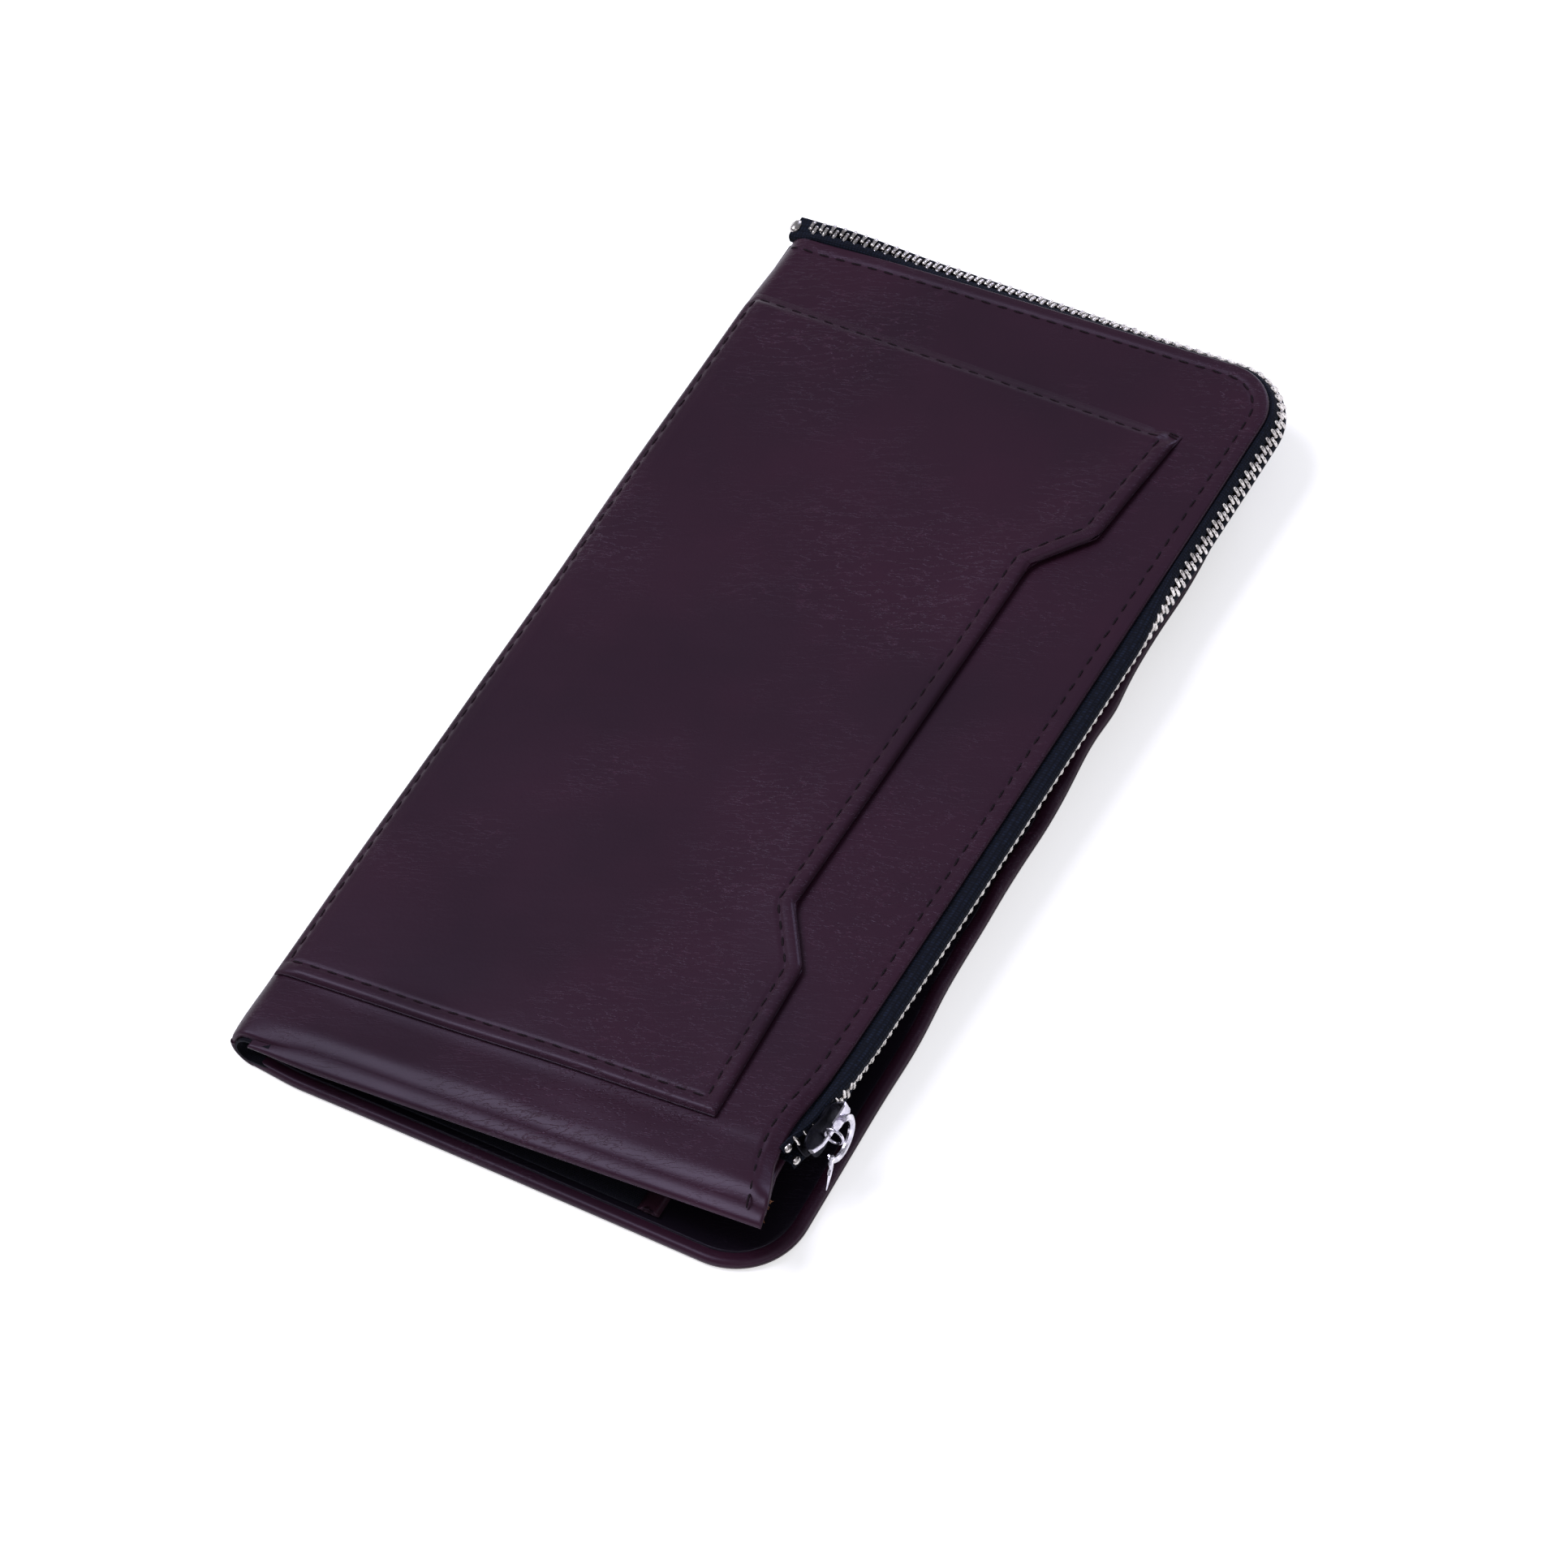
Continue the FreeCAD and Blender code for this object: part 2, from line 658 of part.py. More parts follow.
def make_front_tape():
    """Woven tape sewn under the front panel, turned down over the panel's edge to its row of teeth."""
    body = new_body("zipper_tape_front")
    half = "tape_thickness / 2"
    top = f"{FRONT_UNDERSIDE} - face_gap"
    under = f"{FRONT_UNDERSIDE} - face_gap - tape_thickness"
    reach = f"({ROW_REACH} + tooth_clearance)"
    hidden = "front_width - tape_hidden_width"
    profile = [
        (hidden, under),
        ("front_width + tape_ledge - tape_thickness / 2", under),
        chain_point(reach, f"-{half}"),
        chain_point(reach, half),
        ("front_width + tape_ledge", top),
        (hidden, top),
    ]
    tape_pipe(body, profile, SLIDER_REAR)
    near = f"(-{HALF_LENGTH} + chain_near_end - tape_tail)"
    corners = [
        (hidden, near),
        ("front_width - tape_ledge", near),
        ("front_width - tape_ledge", SLIDER_REAR),
        (hidden, SLIDER_REAR),
    ]
    pad(body, outline(body, corners, offset=under), "tape_thickness")
    on_front_leaf(body)
    keep(body)


def make_back_tape():
    """The other tape's visible edge, from its row of teeth down to the pouch's back panel."""
    body = new_body("zipper_tape_back")
    half = "tape_thickness / 2"
    reach = f"-({ROW_REACH} + tooth_clearance)"
    foot = "(roll_radius - pouch_edge_thickness + pouch_back_leather / 2)"
    side = "front_width + pouch_back_overhang + tape_side_gap"
    profile = [
        (side, foot),
        (f"{side} + tape_thickness", foot),
        chain_point(reach, half),
        chain_point(reach, f"-{half}"),
    ]
    tape_pipe(body, profile, SLIDER_REAR)
    on_front_leaf(body)
    keep(body)


def chain_frame(distance):
    """Place and heading of the chain's middle line at a distance from its near end, in the leaf's plan."""
    half = value_of(HALF_LENGTH)
    radius = value_of("front_corner_radius + chain_offset")
    start = -half + value_of("chain_near_end")
    straight = half - value_of("front_corner_radius") - start
    bend = radius * math.pi / 2
    x = value_of(CHAIN_X)
    if distance <= straight:
        return x, start + distance, 0.0
    if distance <= straight + bend:
        angle = (distance - straight) / radius
        centre = (x - radius, start + straight)
        return centre[0] + radius * math.cos(angle), centre[1] + radius * math.sin(angle), math.degrees(angle)
    rest = distance - straight - bend
    return x - radius - rest, half + value_of("chain_offset"), 90.0


def chain_length():
    half = value_of(HALF_LENGTH)
    radius = value_of("front_corner_radius + chain_offset")
    straight = 2 * half - value_of("front_corner_radius + chain_near_end")
    back = value_of("front_width - front_corner_radius + chain_far_end")
    return straight + radius * math.pi / 2 + back


def chain_solid(distance, along, low, high, thickness):
    """A block on the chain, between two heights across it, turned with the chain's heading and tilt."""
    x, y, heading = chain_frame(distance)
    box = Part.makeBox(2 * thickness, along, high - low, FreeCAD.Vector(-thickness, -along / 2, low))
    turn = FreeCAD.Rotation(FreeCAD.Vector(0, 0, 1), heading)
    lean = FreeCAD.Rotation(FreeCAD.Vector(0, -1, 0), value_of("chain_tilt"))
    box.Placement = FreeCAD.Placement(FreeCAD.Vector(x, y, value_of(CHAIN_Z)), turn * lean)
    return box


def spread_at(distance):
    """How far each row stands off the chain's middle line ahead of the slider, where the rows part."""
    rear = value_of("slider_position - chain_near_end + spread_lead")
    share = min(1.0, max(0.0, (rear - distance) / value_of("spread_share * slider_length")))
    return share * value_of("row_spread")


def make_teeth():
    """Two rows of teeth that mesh with each other, half a pitch apart, along the whole route of the zipper."""
    pitch = value_of("tooth_pitch")
    length = value_of("tooth_length")
    reach = value_of(ROW_REACH)
    mesh = value_of("tooth_mesh")
    thick = value_of("tooth_half_thickness")
    count = int((chain_length() - pitch) / pitch)
    for label, side, shift in (("zipper_teeth_front", 1, 0.0), ("zipper_teeth_back", -1, 0.5)):
        solids = []
        for i in range(count):
            distance = (i + 0.5 + shift) * pitch
            spread = spread_at(distance)
            ends = sorted((side * (spread - mesh), side * (spread + reach)))
            solids.append(chain_solid(distance, length, ends[0], ends[1], thick))
        feature_of(label, solids)


def make_stops():
    """Metal stops: one across both rows at the far end, and one on each row at the slider's end."""
    length = value_of("stop_length")
    thick = value_of("tooth_half_thickness + stop_proud")
    reach = value_of(ROW_REACH)
    spread = value_of("row_spread")
    end = chain_length() - length / 2 + value_of("far_stop_reach")
    feature_of("zipper_bottom_stop", [chain_solid(end, length, -reach, reach, thick)])
    near = -length / 2
    inner = spread - value_of("stop_lap")
    pair = [
        chain_solid(near, length, inner, spread + reach, thick),
        chain_solid(near, length, -spread - reach, -inner, thick),
    ]
    feature_of("zipper_top_stops", pair)


# ---------------------------------------------------------------- slider
def on_slider(thing):
    on_front_leaf(thing, CHAIN_X, f"-{HALF_LENGTH} + slider_position", CHAIN_Z, "chain_tilt")


def make_slider_body():
    """Two wings joined by the wedge-shaped post that parts the rows, with lips that hold the rows together."""
    nose = "slider_nose_width / 2"
    tail = "slider_tail_width / 2"
    half = "slider_length / 2"
    inner = "(tooth_half_thickness + wing_clearance)"
    shape = [
        (f"-{half}", f"-{nose} + slider_nose_chamfer"),
        (f"-{half} + slider_nose_chamfer", f"-{nose}"),
        (f"-{half} + slider_nose_length", f"-{nose}"),
        ("slider_waist", f"-{tail}"),
        (half, f"-{tail}"),
        (half, tail),
        ("slider_waist", tail),
        (f"-{half} + slider_nose_length", nose),
        (f"-{half} + slider_nose_chamfer", nose),
        (f"-{half}", f"{nose} - slider_nose_chamfer"),
    ]
    body = new_body("slider_body")
    pad(body, outline(body, shape, "YZ_Plane", inner), "wing_thickness")
    front = f"(-{half} + post_setback)"
    middle = f"{front} + post_length / 2"
    post = [
        (front, "0"),
        (middle, "-post_width / 2"),
        (f"{front} + post_length", "0"),
        (middle, "post_width / 2"),
    ]
    pad(body, outline(body, post, "YZ_Plane", f"-{inner}"), f"2 * {inner}")
    pad(body, outline(body, shape, "YZ_Plane", f"-{inner} - wing_thickness"), "wing_thickness")
    for side in ("", "-"):
        edge = f"{side}({tail})"
        lip = f"{side}({tail} - lip_width)"
        corners = [("lip_start", lip), (half, lip), (half, edge), ("lip_start", edge)]
        pad(body, outline(body, corners, "YZ_Plane", f"{inner} - lip_depth"), "lip_depth")
        pad(body, outline(body, corners, "YZ_Plane", f"-{inner}"), "lip_depth")
    on_slider(body)
    keep(body)


def make_slider_bridge():
    """The strap over the slider: a wide plate over its tail that narrows to a bar towards its nose."""
    foot = "(tooth_half_thickness + wing_clearance + wing_thickness + bridge_seat_gap)"
    half = "bridge_length / 2 - bridge_end_inset"
    crown = f"({foot} + bridge_height)"
    split = f"({half} - bridge_plate_length)"
    body = new_body("slider_bridge")
    plate_part = [
        (foot, half),
        (crown, half),
        (crown, split),
        (f"{crown} - bridge_metal", split),
        (f"{crown} - bridge_metal", f"{half} - bridge_metal"),
        (foot, f"{half} - bridge_metal"),
    ]
    bar_part = [
        (f"{crown} - bridge_metal", f"{split} + bridge_lap"),
        (crown, f"{split} + bridge_lap"),
        (crown, f"-({half}) - bridge_nose_reach"),
        (foot, f"-({half}) - bridge_nose_reach"),
        (foot, f"-({half}) - bridge_nose_reach + bridge_metal"),
        (f"{crown} - bridge_metal", f"-({half}) - bridge_nose_reach + bridge_metal"),
    ]
    pad(body, outline(body, plate_part), "bridge_plate_width", symmetric=True)
    pad(body, outline(body, bar_part), "bridge_bar_width", symmetric=True)
    on_slider(body)
    keep(body)


# ---------------------------------------------------------------- pull
LINK_X = "(tooth_half_thickness + wing_clearance + wing_thickness + bridge_height - bridge_metal / 2)"


def hang_direction():
    """Direction in which the link hangs from the bridge's bar, outwards and down."""
    drop = math.radians(value_of("link_hang_angle"))
    return FreeCAD.Vector(math.cos(drop), 0, -math.sin(drop))


def bar_centre():
    """The point of the bridge's narrow bar that the link goes round."""
    lean = math.radians(value_of("chain_tilt"))
    out = value_of(LINK_X)
    along = value_of(f"-{HALF_LENGTH} + slider_position - link_offset")
    x = value_of(CHAIN_X) + out * math.cos(lean)
    z = value_of(CHAIN_Z) + out * math.sin(lean)
    return FreeCAD.Vector(x, along, z)


def link_centre():
    half_diagonal = math.hypot(value_of("bridge_metal") / 2, value_of("bridge_bar_width") / 2)
    reach = value_of("link_radius - link_wire - link_clearance") - half_diagonal
    return bar_centre() + hang_direction() * reach


def pull_hang_point():
    """Middle of the pull's straight bar, where it rests inside the link."""
    reach = value_of("link_radius - link_wire - pull_bar_slack - pull_bar_wire / cos(pull_turn * 1 deg)")
    return link_centre() + hang_direction() * reach


def make_link():
    """Small wire ring round the bridge's bar."""
    ring = doc.addObject("Part::Torus", "pull_link")
    ring.Label = "pull_link"
    bind(ring, "Radius1", "link_radius")
    bind(ring, "Radius2", "link_wire")
    local = FreeCAD.Placement(link_centre(), FreeCAD.Rotation(FreeCAD.Vector(1, 0, 0), 90))
    ring.Placement = front_leaf_matrix() * local
    keep(ring)


def make_pull():
    """D-shaped ring whose straight side hangs in the link, with a slim tapered tail from its lower corner."""
    corner_x = "pull_ring_radius * cos(pull_open_angle / 2 * 1 deg)"
    corner_y = "pull_ring_radius * sin(pull_open_angle / 2 * 1 deg)"
    bow = doc.addObject("Part::Torus", "pull_bow")
    bind(bow, "Radius1", "pull_ring_radius")
    bind(bow, "Radius2", "pull_ring_wire")
    bind(bow, "Angle3", "360 - pull_open_angle")
    opening = FreeCAD.Rotation(FreeCAD.Vector(0, 0, 1), value_of("pull_open_angle / 2"))
    bow.Placement = FreeCAD.Placement(FreeCAD.Vector(), opening)
    bar = doc.addObject("Part::Cylinder", "pull_bar")
    bind(bar, "Radius", "pull_bar_wire")
    bind(bar, "Height", f"2 * {corner_y}")
    bar.Placement = FreeCAD.Placement(FreeCAD.Vector(), FreeCAD.Rotation(FreeCAD.Vector(1, 0, 0), 90))
    bind(bar, "Placement.Base.x", corner_x)
    bind(bar, "Placement.Base.y", corner_y)
    tail = doc.addObject("Part::Cone", "pull_tail")
    bind(tail, "Radius1", "pull_tail_radius")
    bind(tail, "Radius2", "pull_tip_radius")
    bind(tail, "Height", "pull_tail_length")
    away = FreeCAD.Rotation(FreeCAD.Vector(0, 0, 1), FreeCAD.Vector(-value_of("pull_tail_lean"), 1, 0))
    tail.Placement = FreeCAD.Placement(FreeCAD.Vector(), away)
    bind(tail, "Placement.Base.x", corner_x)
    bind(tail, "Placement.Base.y", corner_y)
    knuckles = []
    for sign in ("", "-"):
        ball = doc.addObject("Part::Sphere", "pull_knuckle")
        bind(ball, "Radius", "pull_ring_wire + pull_knuckle_extra")
        bind(ball, "Placement.Base.x", corner_x)
        bind(ball, "Placement.Base.y", f"{sign}({corner_y})")
        knuckles.append(ball)
    pull = doc.addObject("Part::MultiFuse", "pull_drop")
    pull.Label = "pull_drop"
    pull.Shapes = [bow, bar, tail] + knuckles
    # the ring's flat side stands beside the leaf's edge, its straight bar sloping up towards the far end
    lean = math.radians(value_of("pull_turn"))
    bar_way = FreeCAD.Vector(0, -math.cos(lean), -math.sin(lean))
    bow_way = FreeCAD.Vector(0, -math.sin(lean), math.cos(lean))
    turn = FreeCAD.Rotation(bow_way, bar_way, bow_way.cross(bar_way), "ZXY")
    reach = FreeCAD.Vector(-value_of(corner_x), 0, 0)
    local = FreeCAD.Placement(pull_hang_point(), turn) * FreeCAD.Placement(reach, FreeCAD.Rotation())
    pull.Placement = front_leaf_matrix() * local
    keep(pull)


def print_joint_points():
    """Pivot points of the moving pieces, in metres, for the joints that are declared with the part."""
    leaf = front_leaf_matrix()
    for name, point in (("link", bar_centre()), ("pull", pull_hang_point())):
        place = leaf.multVec(point) * 0.001
        print(f"{name} pivot: {place.x:.6f}, {place.y:.6f}, {place.z:.6f}")


# ---------------------------------------------------------------- build and write
def check_document():
    doc.recompute()
    for thing in doc.Objects:
        if "Invalid" in thing.State or "Error" in thing.State:
            raise RuntimeError(f"{thing.Label} failed: {thing.State}")
    for label, thing in parts.items():
        shape = thing.Shape
        if shape.isNull() or not shape.isValid() or not shape.Solids:
            raise RuntimeError(f"{label} has no valid solid")


def write_parts():
    os.makedirs("parts", exist_ok=True)
    for label, thing in parts.items():
        thing.Shape.exportStep(os.path.join("parts", f"{label}.step"))
        box = thing.Shape.BoundBox
        print(f"{label}: {len(thing.Shape.Solids)} solid(s), {thing.Shape.Volume:.1f} mm3, "
              f"x {box.XMin:.2f}..{box.XMax:.2f}, y {box.YMin:.2f}..{box.YMax:.2f}, "
              f"z {box.ZMin:.2f}..{box.ZMax:.2f}")


make_back_cover()
make_back_board()
make_back_facing()
make_note_pocket()
make_card_slots()
make_spine()
make_front_panel()
make_front_lining()
make_pouch_back()
make_gusset()
make_slip_pocket()
make_front_seam()
make_pocket_seam()
make_front_tape()
make_back_tape()
make_teeth()
make_stops()
make_slider_body()
make_slider_bridge()
make_link()
make_pull()
check_document()
write_parts()
print_joint_points()
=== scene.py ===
"""Looks of a long folding leather wallet whose front leaf is a zipped pouch.

Lengths in the dataclasses are millimetres and angles are degrees. The front leaf has a frame of its own, as it is
tilted a little about the spine: its origin is the centre of the spine's roll, x runs across to the zipped edge,
y along the spine and z out of the leaf's face. Surfaces that wrap the spine use an unrolled coordinate: it is x
on the flat of a leaf, and below zero it is the length of arc along the roll.
"""
import json
import logging
import math
from dataclasses import dataclass, field
from enum import Enum
from typing import Callable, Optional, Sequence

import bpy
import numpy as np
from mathutils import Matrix, Vector


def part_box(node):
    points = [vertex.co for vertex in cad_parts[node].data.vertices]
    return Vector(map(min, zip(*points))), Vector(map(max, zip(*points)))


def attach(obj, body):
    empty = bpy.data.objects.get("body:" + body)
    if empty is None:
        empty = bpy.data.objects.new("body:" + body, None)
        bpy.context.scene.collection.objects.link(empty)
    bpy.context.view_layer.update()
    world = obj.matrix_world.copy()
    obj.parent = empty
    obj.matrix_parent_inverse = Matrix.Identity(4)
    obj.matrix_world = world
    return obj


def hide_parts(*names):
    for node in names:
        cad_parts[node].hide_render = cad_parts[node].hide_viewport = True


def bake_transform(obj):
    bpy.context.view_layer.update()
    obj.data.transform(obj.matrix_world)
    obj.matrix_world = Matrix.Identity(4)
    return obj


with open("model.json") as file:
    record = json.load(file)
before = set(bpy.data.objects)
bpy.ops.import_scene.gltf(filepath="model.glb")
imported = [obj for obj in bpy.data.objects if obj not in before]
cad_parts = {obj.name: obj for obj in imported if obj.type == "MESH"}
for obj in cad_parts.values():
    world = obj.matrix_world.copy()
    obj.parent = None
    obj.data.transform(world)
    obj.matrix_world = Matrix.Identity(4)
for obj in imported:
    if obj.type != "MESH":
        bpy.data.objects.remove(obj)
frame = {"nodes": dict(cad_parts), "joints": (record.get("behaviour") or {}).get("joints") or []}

MM = 0.001
LOG = logging.getLogger("wallet")

Array = np.ndarray
Material = bpy.types.Material
MeshObject = bpy.types.Object


# ------------------------------------------------------------------ numbers
def smooth(x: Array, low: float, high: float) -> Array:
    """Rises from 0 at low to 1 at high along 3t squared less 2t cubed."""
    share = np.clip((np.asarray(x, float) - low) / (high - low), 0.0, 1.0)
    return share * share * (3.0 - 2.0 * share)


def bell(x: Array, middle: float, width: float) -> Array:
    """A bump of height 1 at middle that falls off as e to the minus square of distance over width."""
    return np.exp(-(((np.asarray(x, float) - middle) / width) ** 2))


def ripple(x: Array, y: Array, seed: int, wavelength: float, waves: int = 7) -> Array:
    """A soft random surface: the mean of sine waves of random direction, length and phase.

    Args:
        x: First coordinate of each point.
        y: Second coordinate of each point.
        seed: Which random surface it is.
        wavelength: Typical distance from crest to crest.
        waves: How many sine waves are added.

    Returns:
        Heights of about -1 to 1.
    """
    dice = np.random.default_rng(seed)
    total = np.zeros(np.broadcast(x, y).shape)
    for _ in range(waves):
        angle = dice.uniform(0, math.tau)
        stretch = wavelength * dice.uniform(0.7, 1.5)
        phase = dice.uniform(0, math.tau)
        total += np.sin((x * math.cos(angle) + y * math.sin(angle)) * math.tau / stretch + phase)
    return total / math.sqrt(waves)


def edge_steps(radius: float, count: int) -> Array:
    """Distances from an edge that cut a quarter circle of that radius into equal angles."""
    return radius * (1.0 - np.cos(np.linspace(0.0, math.pi / 2, count)))


def edge_drop(distance: Array, radius: float) -> Array:
    """How far a face falls at a distance from a rounded edge: radius less the height of a quarter circle."""
    inside = np.clip(radius - distance, 0.0, radius)
    return radius - np.sqrt(np.maximum(radius * radius - inside * inside, 0.0))


def segment_distance(x: Array, y: Array, corners: Array) -> Array:
    """Distance of each point from a closed outline of straight sides.

    Args:
        x: First coordinate of each point.
        y: Second coordinate of each point.
        corners: The outline's corners in order, one row each.

    Returns:
        The shortest distance to any side.
    """
    nearest = np.full(np.shape(x), np.inf)
    for start, end in zip(corners, np.roll(corners, -1, axis=0)):
        run = end - start
        share = ((x - start[0]) * run[0] + (y - start[1]) * run[1]) / float(run @ run)
        share = np.clip(share, 0.0, 1.0)
        gap = np.hypot(x - start[0] - share * run[0], y - start[1] - share * run[1])
        nearest = np.minimum(nearest, gap)
    return nearest


def inset_outline(corners: Array, inset: float) -> Array:
    """The corners of an anticlockwise outline moved inwards, each along the middle of its two sides' normals."""
    before = corners - np.roll(corners, 1, axis=0)
    after = np.roll(corners, -1, axis=0) - corners
    before = before / np.linalg.norm(before, axis=1, keepdims=True)
    after = after / np.linalg.norm(after, axis=1, keepdims=True)
    left_before = np.stack([-before[:, 1], before[:, 0]], axis=1)
    left_after = np.stack([-after[:, 1], after[:, 0]], axis=1)
    share = inset / (1.0 + np.sum(left_before * left_after, axis=1, keepdims=True))
    return corners + (left_before + left_after) * share


# ------------------------------------------------------------------ meshes
def grid_faces(rows: int, cols: int, first: int = 0, flip: bool = False, closed: bool = False) -> Array:
    """Four-sided faces of a grid of points numbered row by row.

    Args:
        rows: Number of rows.
        cols: Number of points in a row.
        first: Number of the grid's first point.
        flip: True turns the faces over.
        closed: True joins each row's last point to its first.

    Returns:
        One row of four point numbers for each face.
    """
    i = np.arange(rows - 1)[:, None]
    j = np.arange(cols if closed else cols - 1)[None, :]
    here = first + i * cols + j
    beside = first + i * cols + (j + 1) % cols
    faces = np.stack([here, beside, beside + cols, here + cols], axis=-1).reshape(-1, 4)
    return faces[:, ::-1] if flip else faces


def make_piece(name: str, points: Array, faces: Sequence[Sequence[int]], material: Material,
               uv: Optional[Array] = None, shade_smooth: bool = True) -> MeshObject:
    """A mesh object at the origin, from points in millimetres in the wallet's frame.

    Args:
        name: The piece's name.
        points: One row of three coordinates for each point.
        faces: Point numbers of each face.
        material: Its finish.
        uv: Surface coordinates of each point, in millimetres, for patterns that follow the surface.
        shade_smooth: False leaves the faces flat.

    Returns:
        The new object.
    """
    mesh = bpy.data.meshes.new(name)
    listed = faces.tolist() if isinstance(faces, np.ndarray) else [list(face) for face in faces]
    mesh.from_pydata((np.asarray(points) * MM).tolist(), [], listed)
    mesh.polygons.foreach_set("use_smooth", np.full(len(mesh.polygons), shade_smooth))
    if uv is not None:
        layer = mesh.uv_layers.new(name="UVMap")
        corner_points = np.zeros(len(mesh.loops), np.int32)
        mesh.loops.foreach_get("vertex_index", corner_points)
        layer.data.foreach_set("uv", np.asarray(uv)[corner_points].astype(np.float32).ravel())
    mesh.materials.append(material)
    mesh.update()
    piece = bpy.data.objects.new(name, mesh)
    bpy.context.scene.collection.objects.link(piece)
    return piece


def shell_faces(rows: int, cols: int) -> Array:
    """Faces of a closed shell made of an upper grid, a lower grid and the four strips that join their borders."""
    count = rows * cols
    top = grid_faces(rows, cols)
    under = grid_faces(rows, cols, count, flip=True)
    row_ends = [np.arange(cols), np.arange((rows - 1) * cols, count)]
    col_ends = [np.arange(0, count, cols), np.arange(cols - 1, count, cols)]
    strips = []
    for border, flip in ((row_ends[0], True), (row_ends[1], False), (col_ends[0], False), (col_ends[1], True)):
        a, b = border[:-1], border[1:]
        quads = np.stack([a, a + count, b + count, b], axis=-1)
        strips.append(quads[:, ::-1] if flip else quads)
    return np.concatenate([top, under] + strips)


def make_shell(name: str, upper: Array, lower: Array, material: Material, uv: Optional[Array] = None,
               turn: bool = False) -> MeshObject:
    """A closed sheet between two grids of points of the same size.

    Args:
        name: The piece's name.
        upper: Points of one face, rows by columns by three.
        lower: Points of the other face.
        material: Its finish.
        uv: Surface coordinates, rows by columns by two.
        turn: True when the rows and columns run clockwise seen from the upper face.

    Returns:
        The new object.
    """
    rows, cols = upper.shape[:2]
    points = np.concatenate([upper.reshape(-1, 3), lower.reshape(-1, 3)])
    faces = shell_faces(rows, cols)
    if turn:
        faces = faces[:, ::-1]
    flat = None if uv is None else np.concatenate([uv.reshape(-1, 2)] * 2)
    return make_piece(name, points, faces, material, flat)


def repeat_shape(shape: Array, faces: Array, origins: Array, axes: Array) -> tuple[Array, Array]:
    """Copies of one small shape, each in a frame of its own.

    Args:
        shape: Points of the shape, one row each.
        faces: Its faces.
        origins: Origin of each copy.
        axes: Three axes of each copy, copies by three by three, with the axes as rows.

    Returns:
        The points and faces of all copies.
    """
    copies = len(origins)
    points = np.einsum("pk,ckd->cpd", shape, axes) + origins[:, None, :]
    shifts = (np.arange(copies) * len(shape))[:, None, None]
    return points.reshape(-1, 3), (faces[None] + shifts).reshape(-1, faces.shape[1])


def tube(path: Array, radii: Array, sides: int, flat: float = 1.0,
         normal: Optional[Array] = None) -> tuple[Array, Array]:
    """A closed tube along a path, with a rounded point at each end.

    Args:
        path: Points of the centre line.
        radii: Radius at each point.
        sides: Points round the tube.
        flat: Height of the section as a share of its width.
        normal: Direction of the section's height; by default it is worked out from the path.

    Returns:
        Points and faces, the two ends closed by collapsing them.
    """
    along = np.gradient(path, axis=0)
    along /= np.linalg.norm(along, axis=1, keepdims=True)
    helper = np.array([0.0, 0.0, 1.0]) if normal is None else np.asarray(normal, float)
    side = np.cross(helper, along)
    side /= np.maximum(np.linalg.norm(side, axis=1, keepdims=True), 1e-9)
    up = np.cross(along, side)
    angles = np.linspace(0, math.tau, sides, endpoint=False)
    ring = np.cos(angles)[None, :, None] * side[:, None, :] + flat * np.sin(angles)[None, :, None] * up[:, None, :]
    points = (path[:, None, :] + ring * radii[:, None, None]).reshape(-1, 3)
    faces = grid_faces(len(path), sides, closed=True)
    first = len(points)
    points = np.concatenate([points, path[:1], path[-1:]])
    loop = np.arange(sides)
    nexts = (loop + 1) % sides
    last = (len(path) - 1) * sides
    start_cap = np.stack([nexts, loop, np.full(sides, first), np.full(sides, first)], axis=1)
    end_cap = np.stack([last + loop, last + nexts, np.full(sides, first + 1), np.full(sides, first + 1)], axis=1)
    return points, np.concatenate([faces, start_cap, end_cap])


def without_doubles(faces: Array) -> list[list[int]]:
    """Faces as lists, with a point that is named twice in a row kept once."""
    tidy = []
    for face in faces.tolist():
        tidy.append([point for i, point in enumerate(face) if point != face[i - 1]])
    return tidy


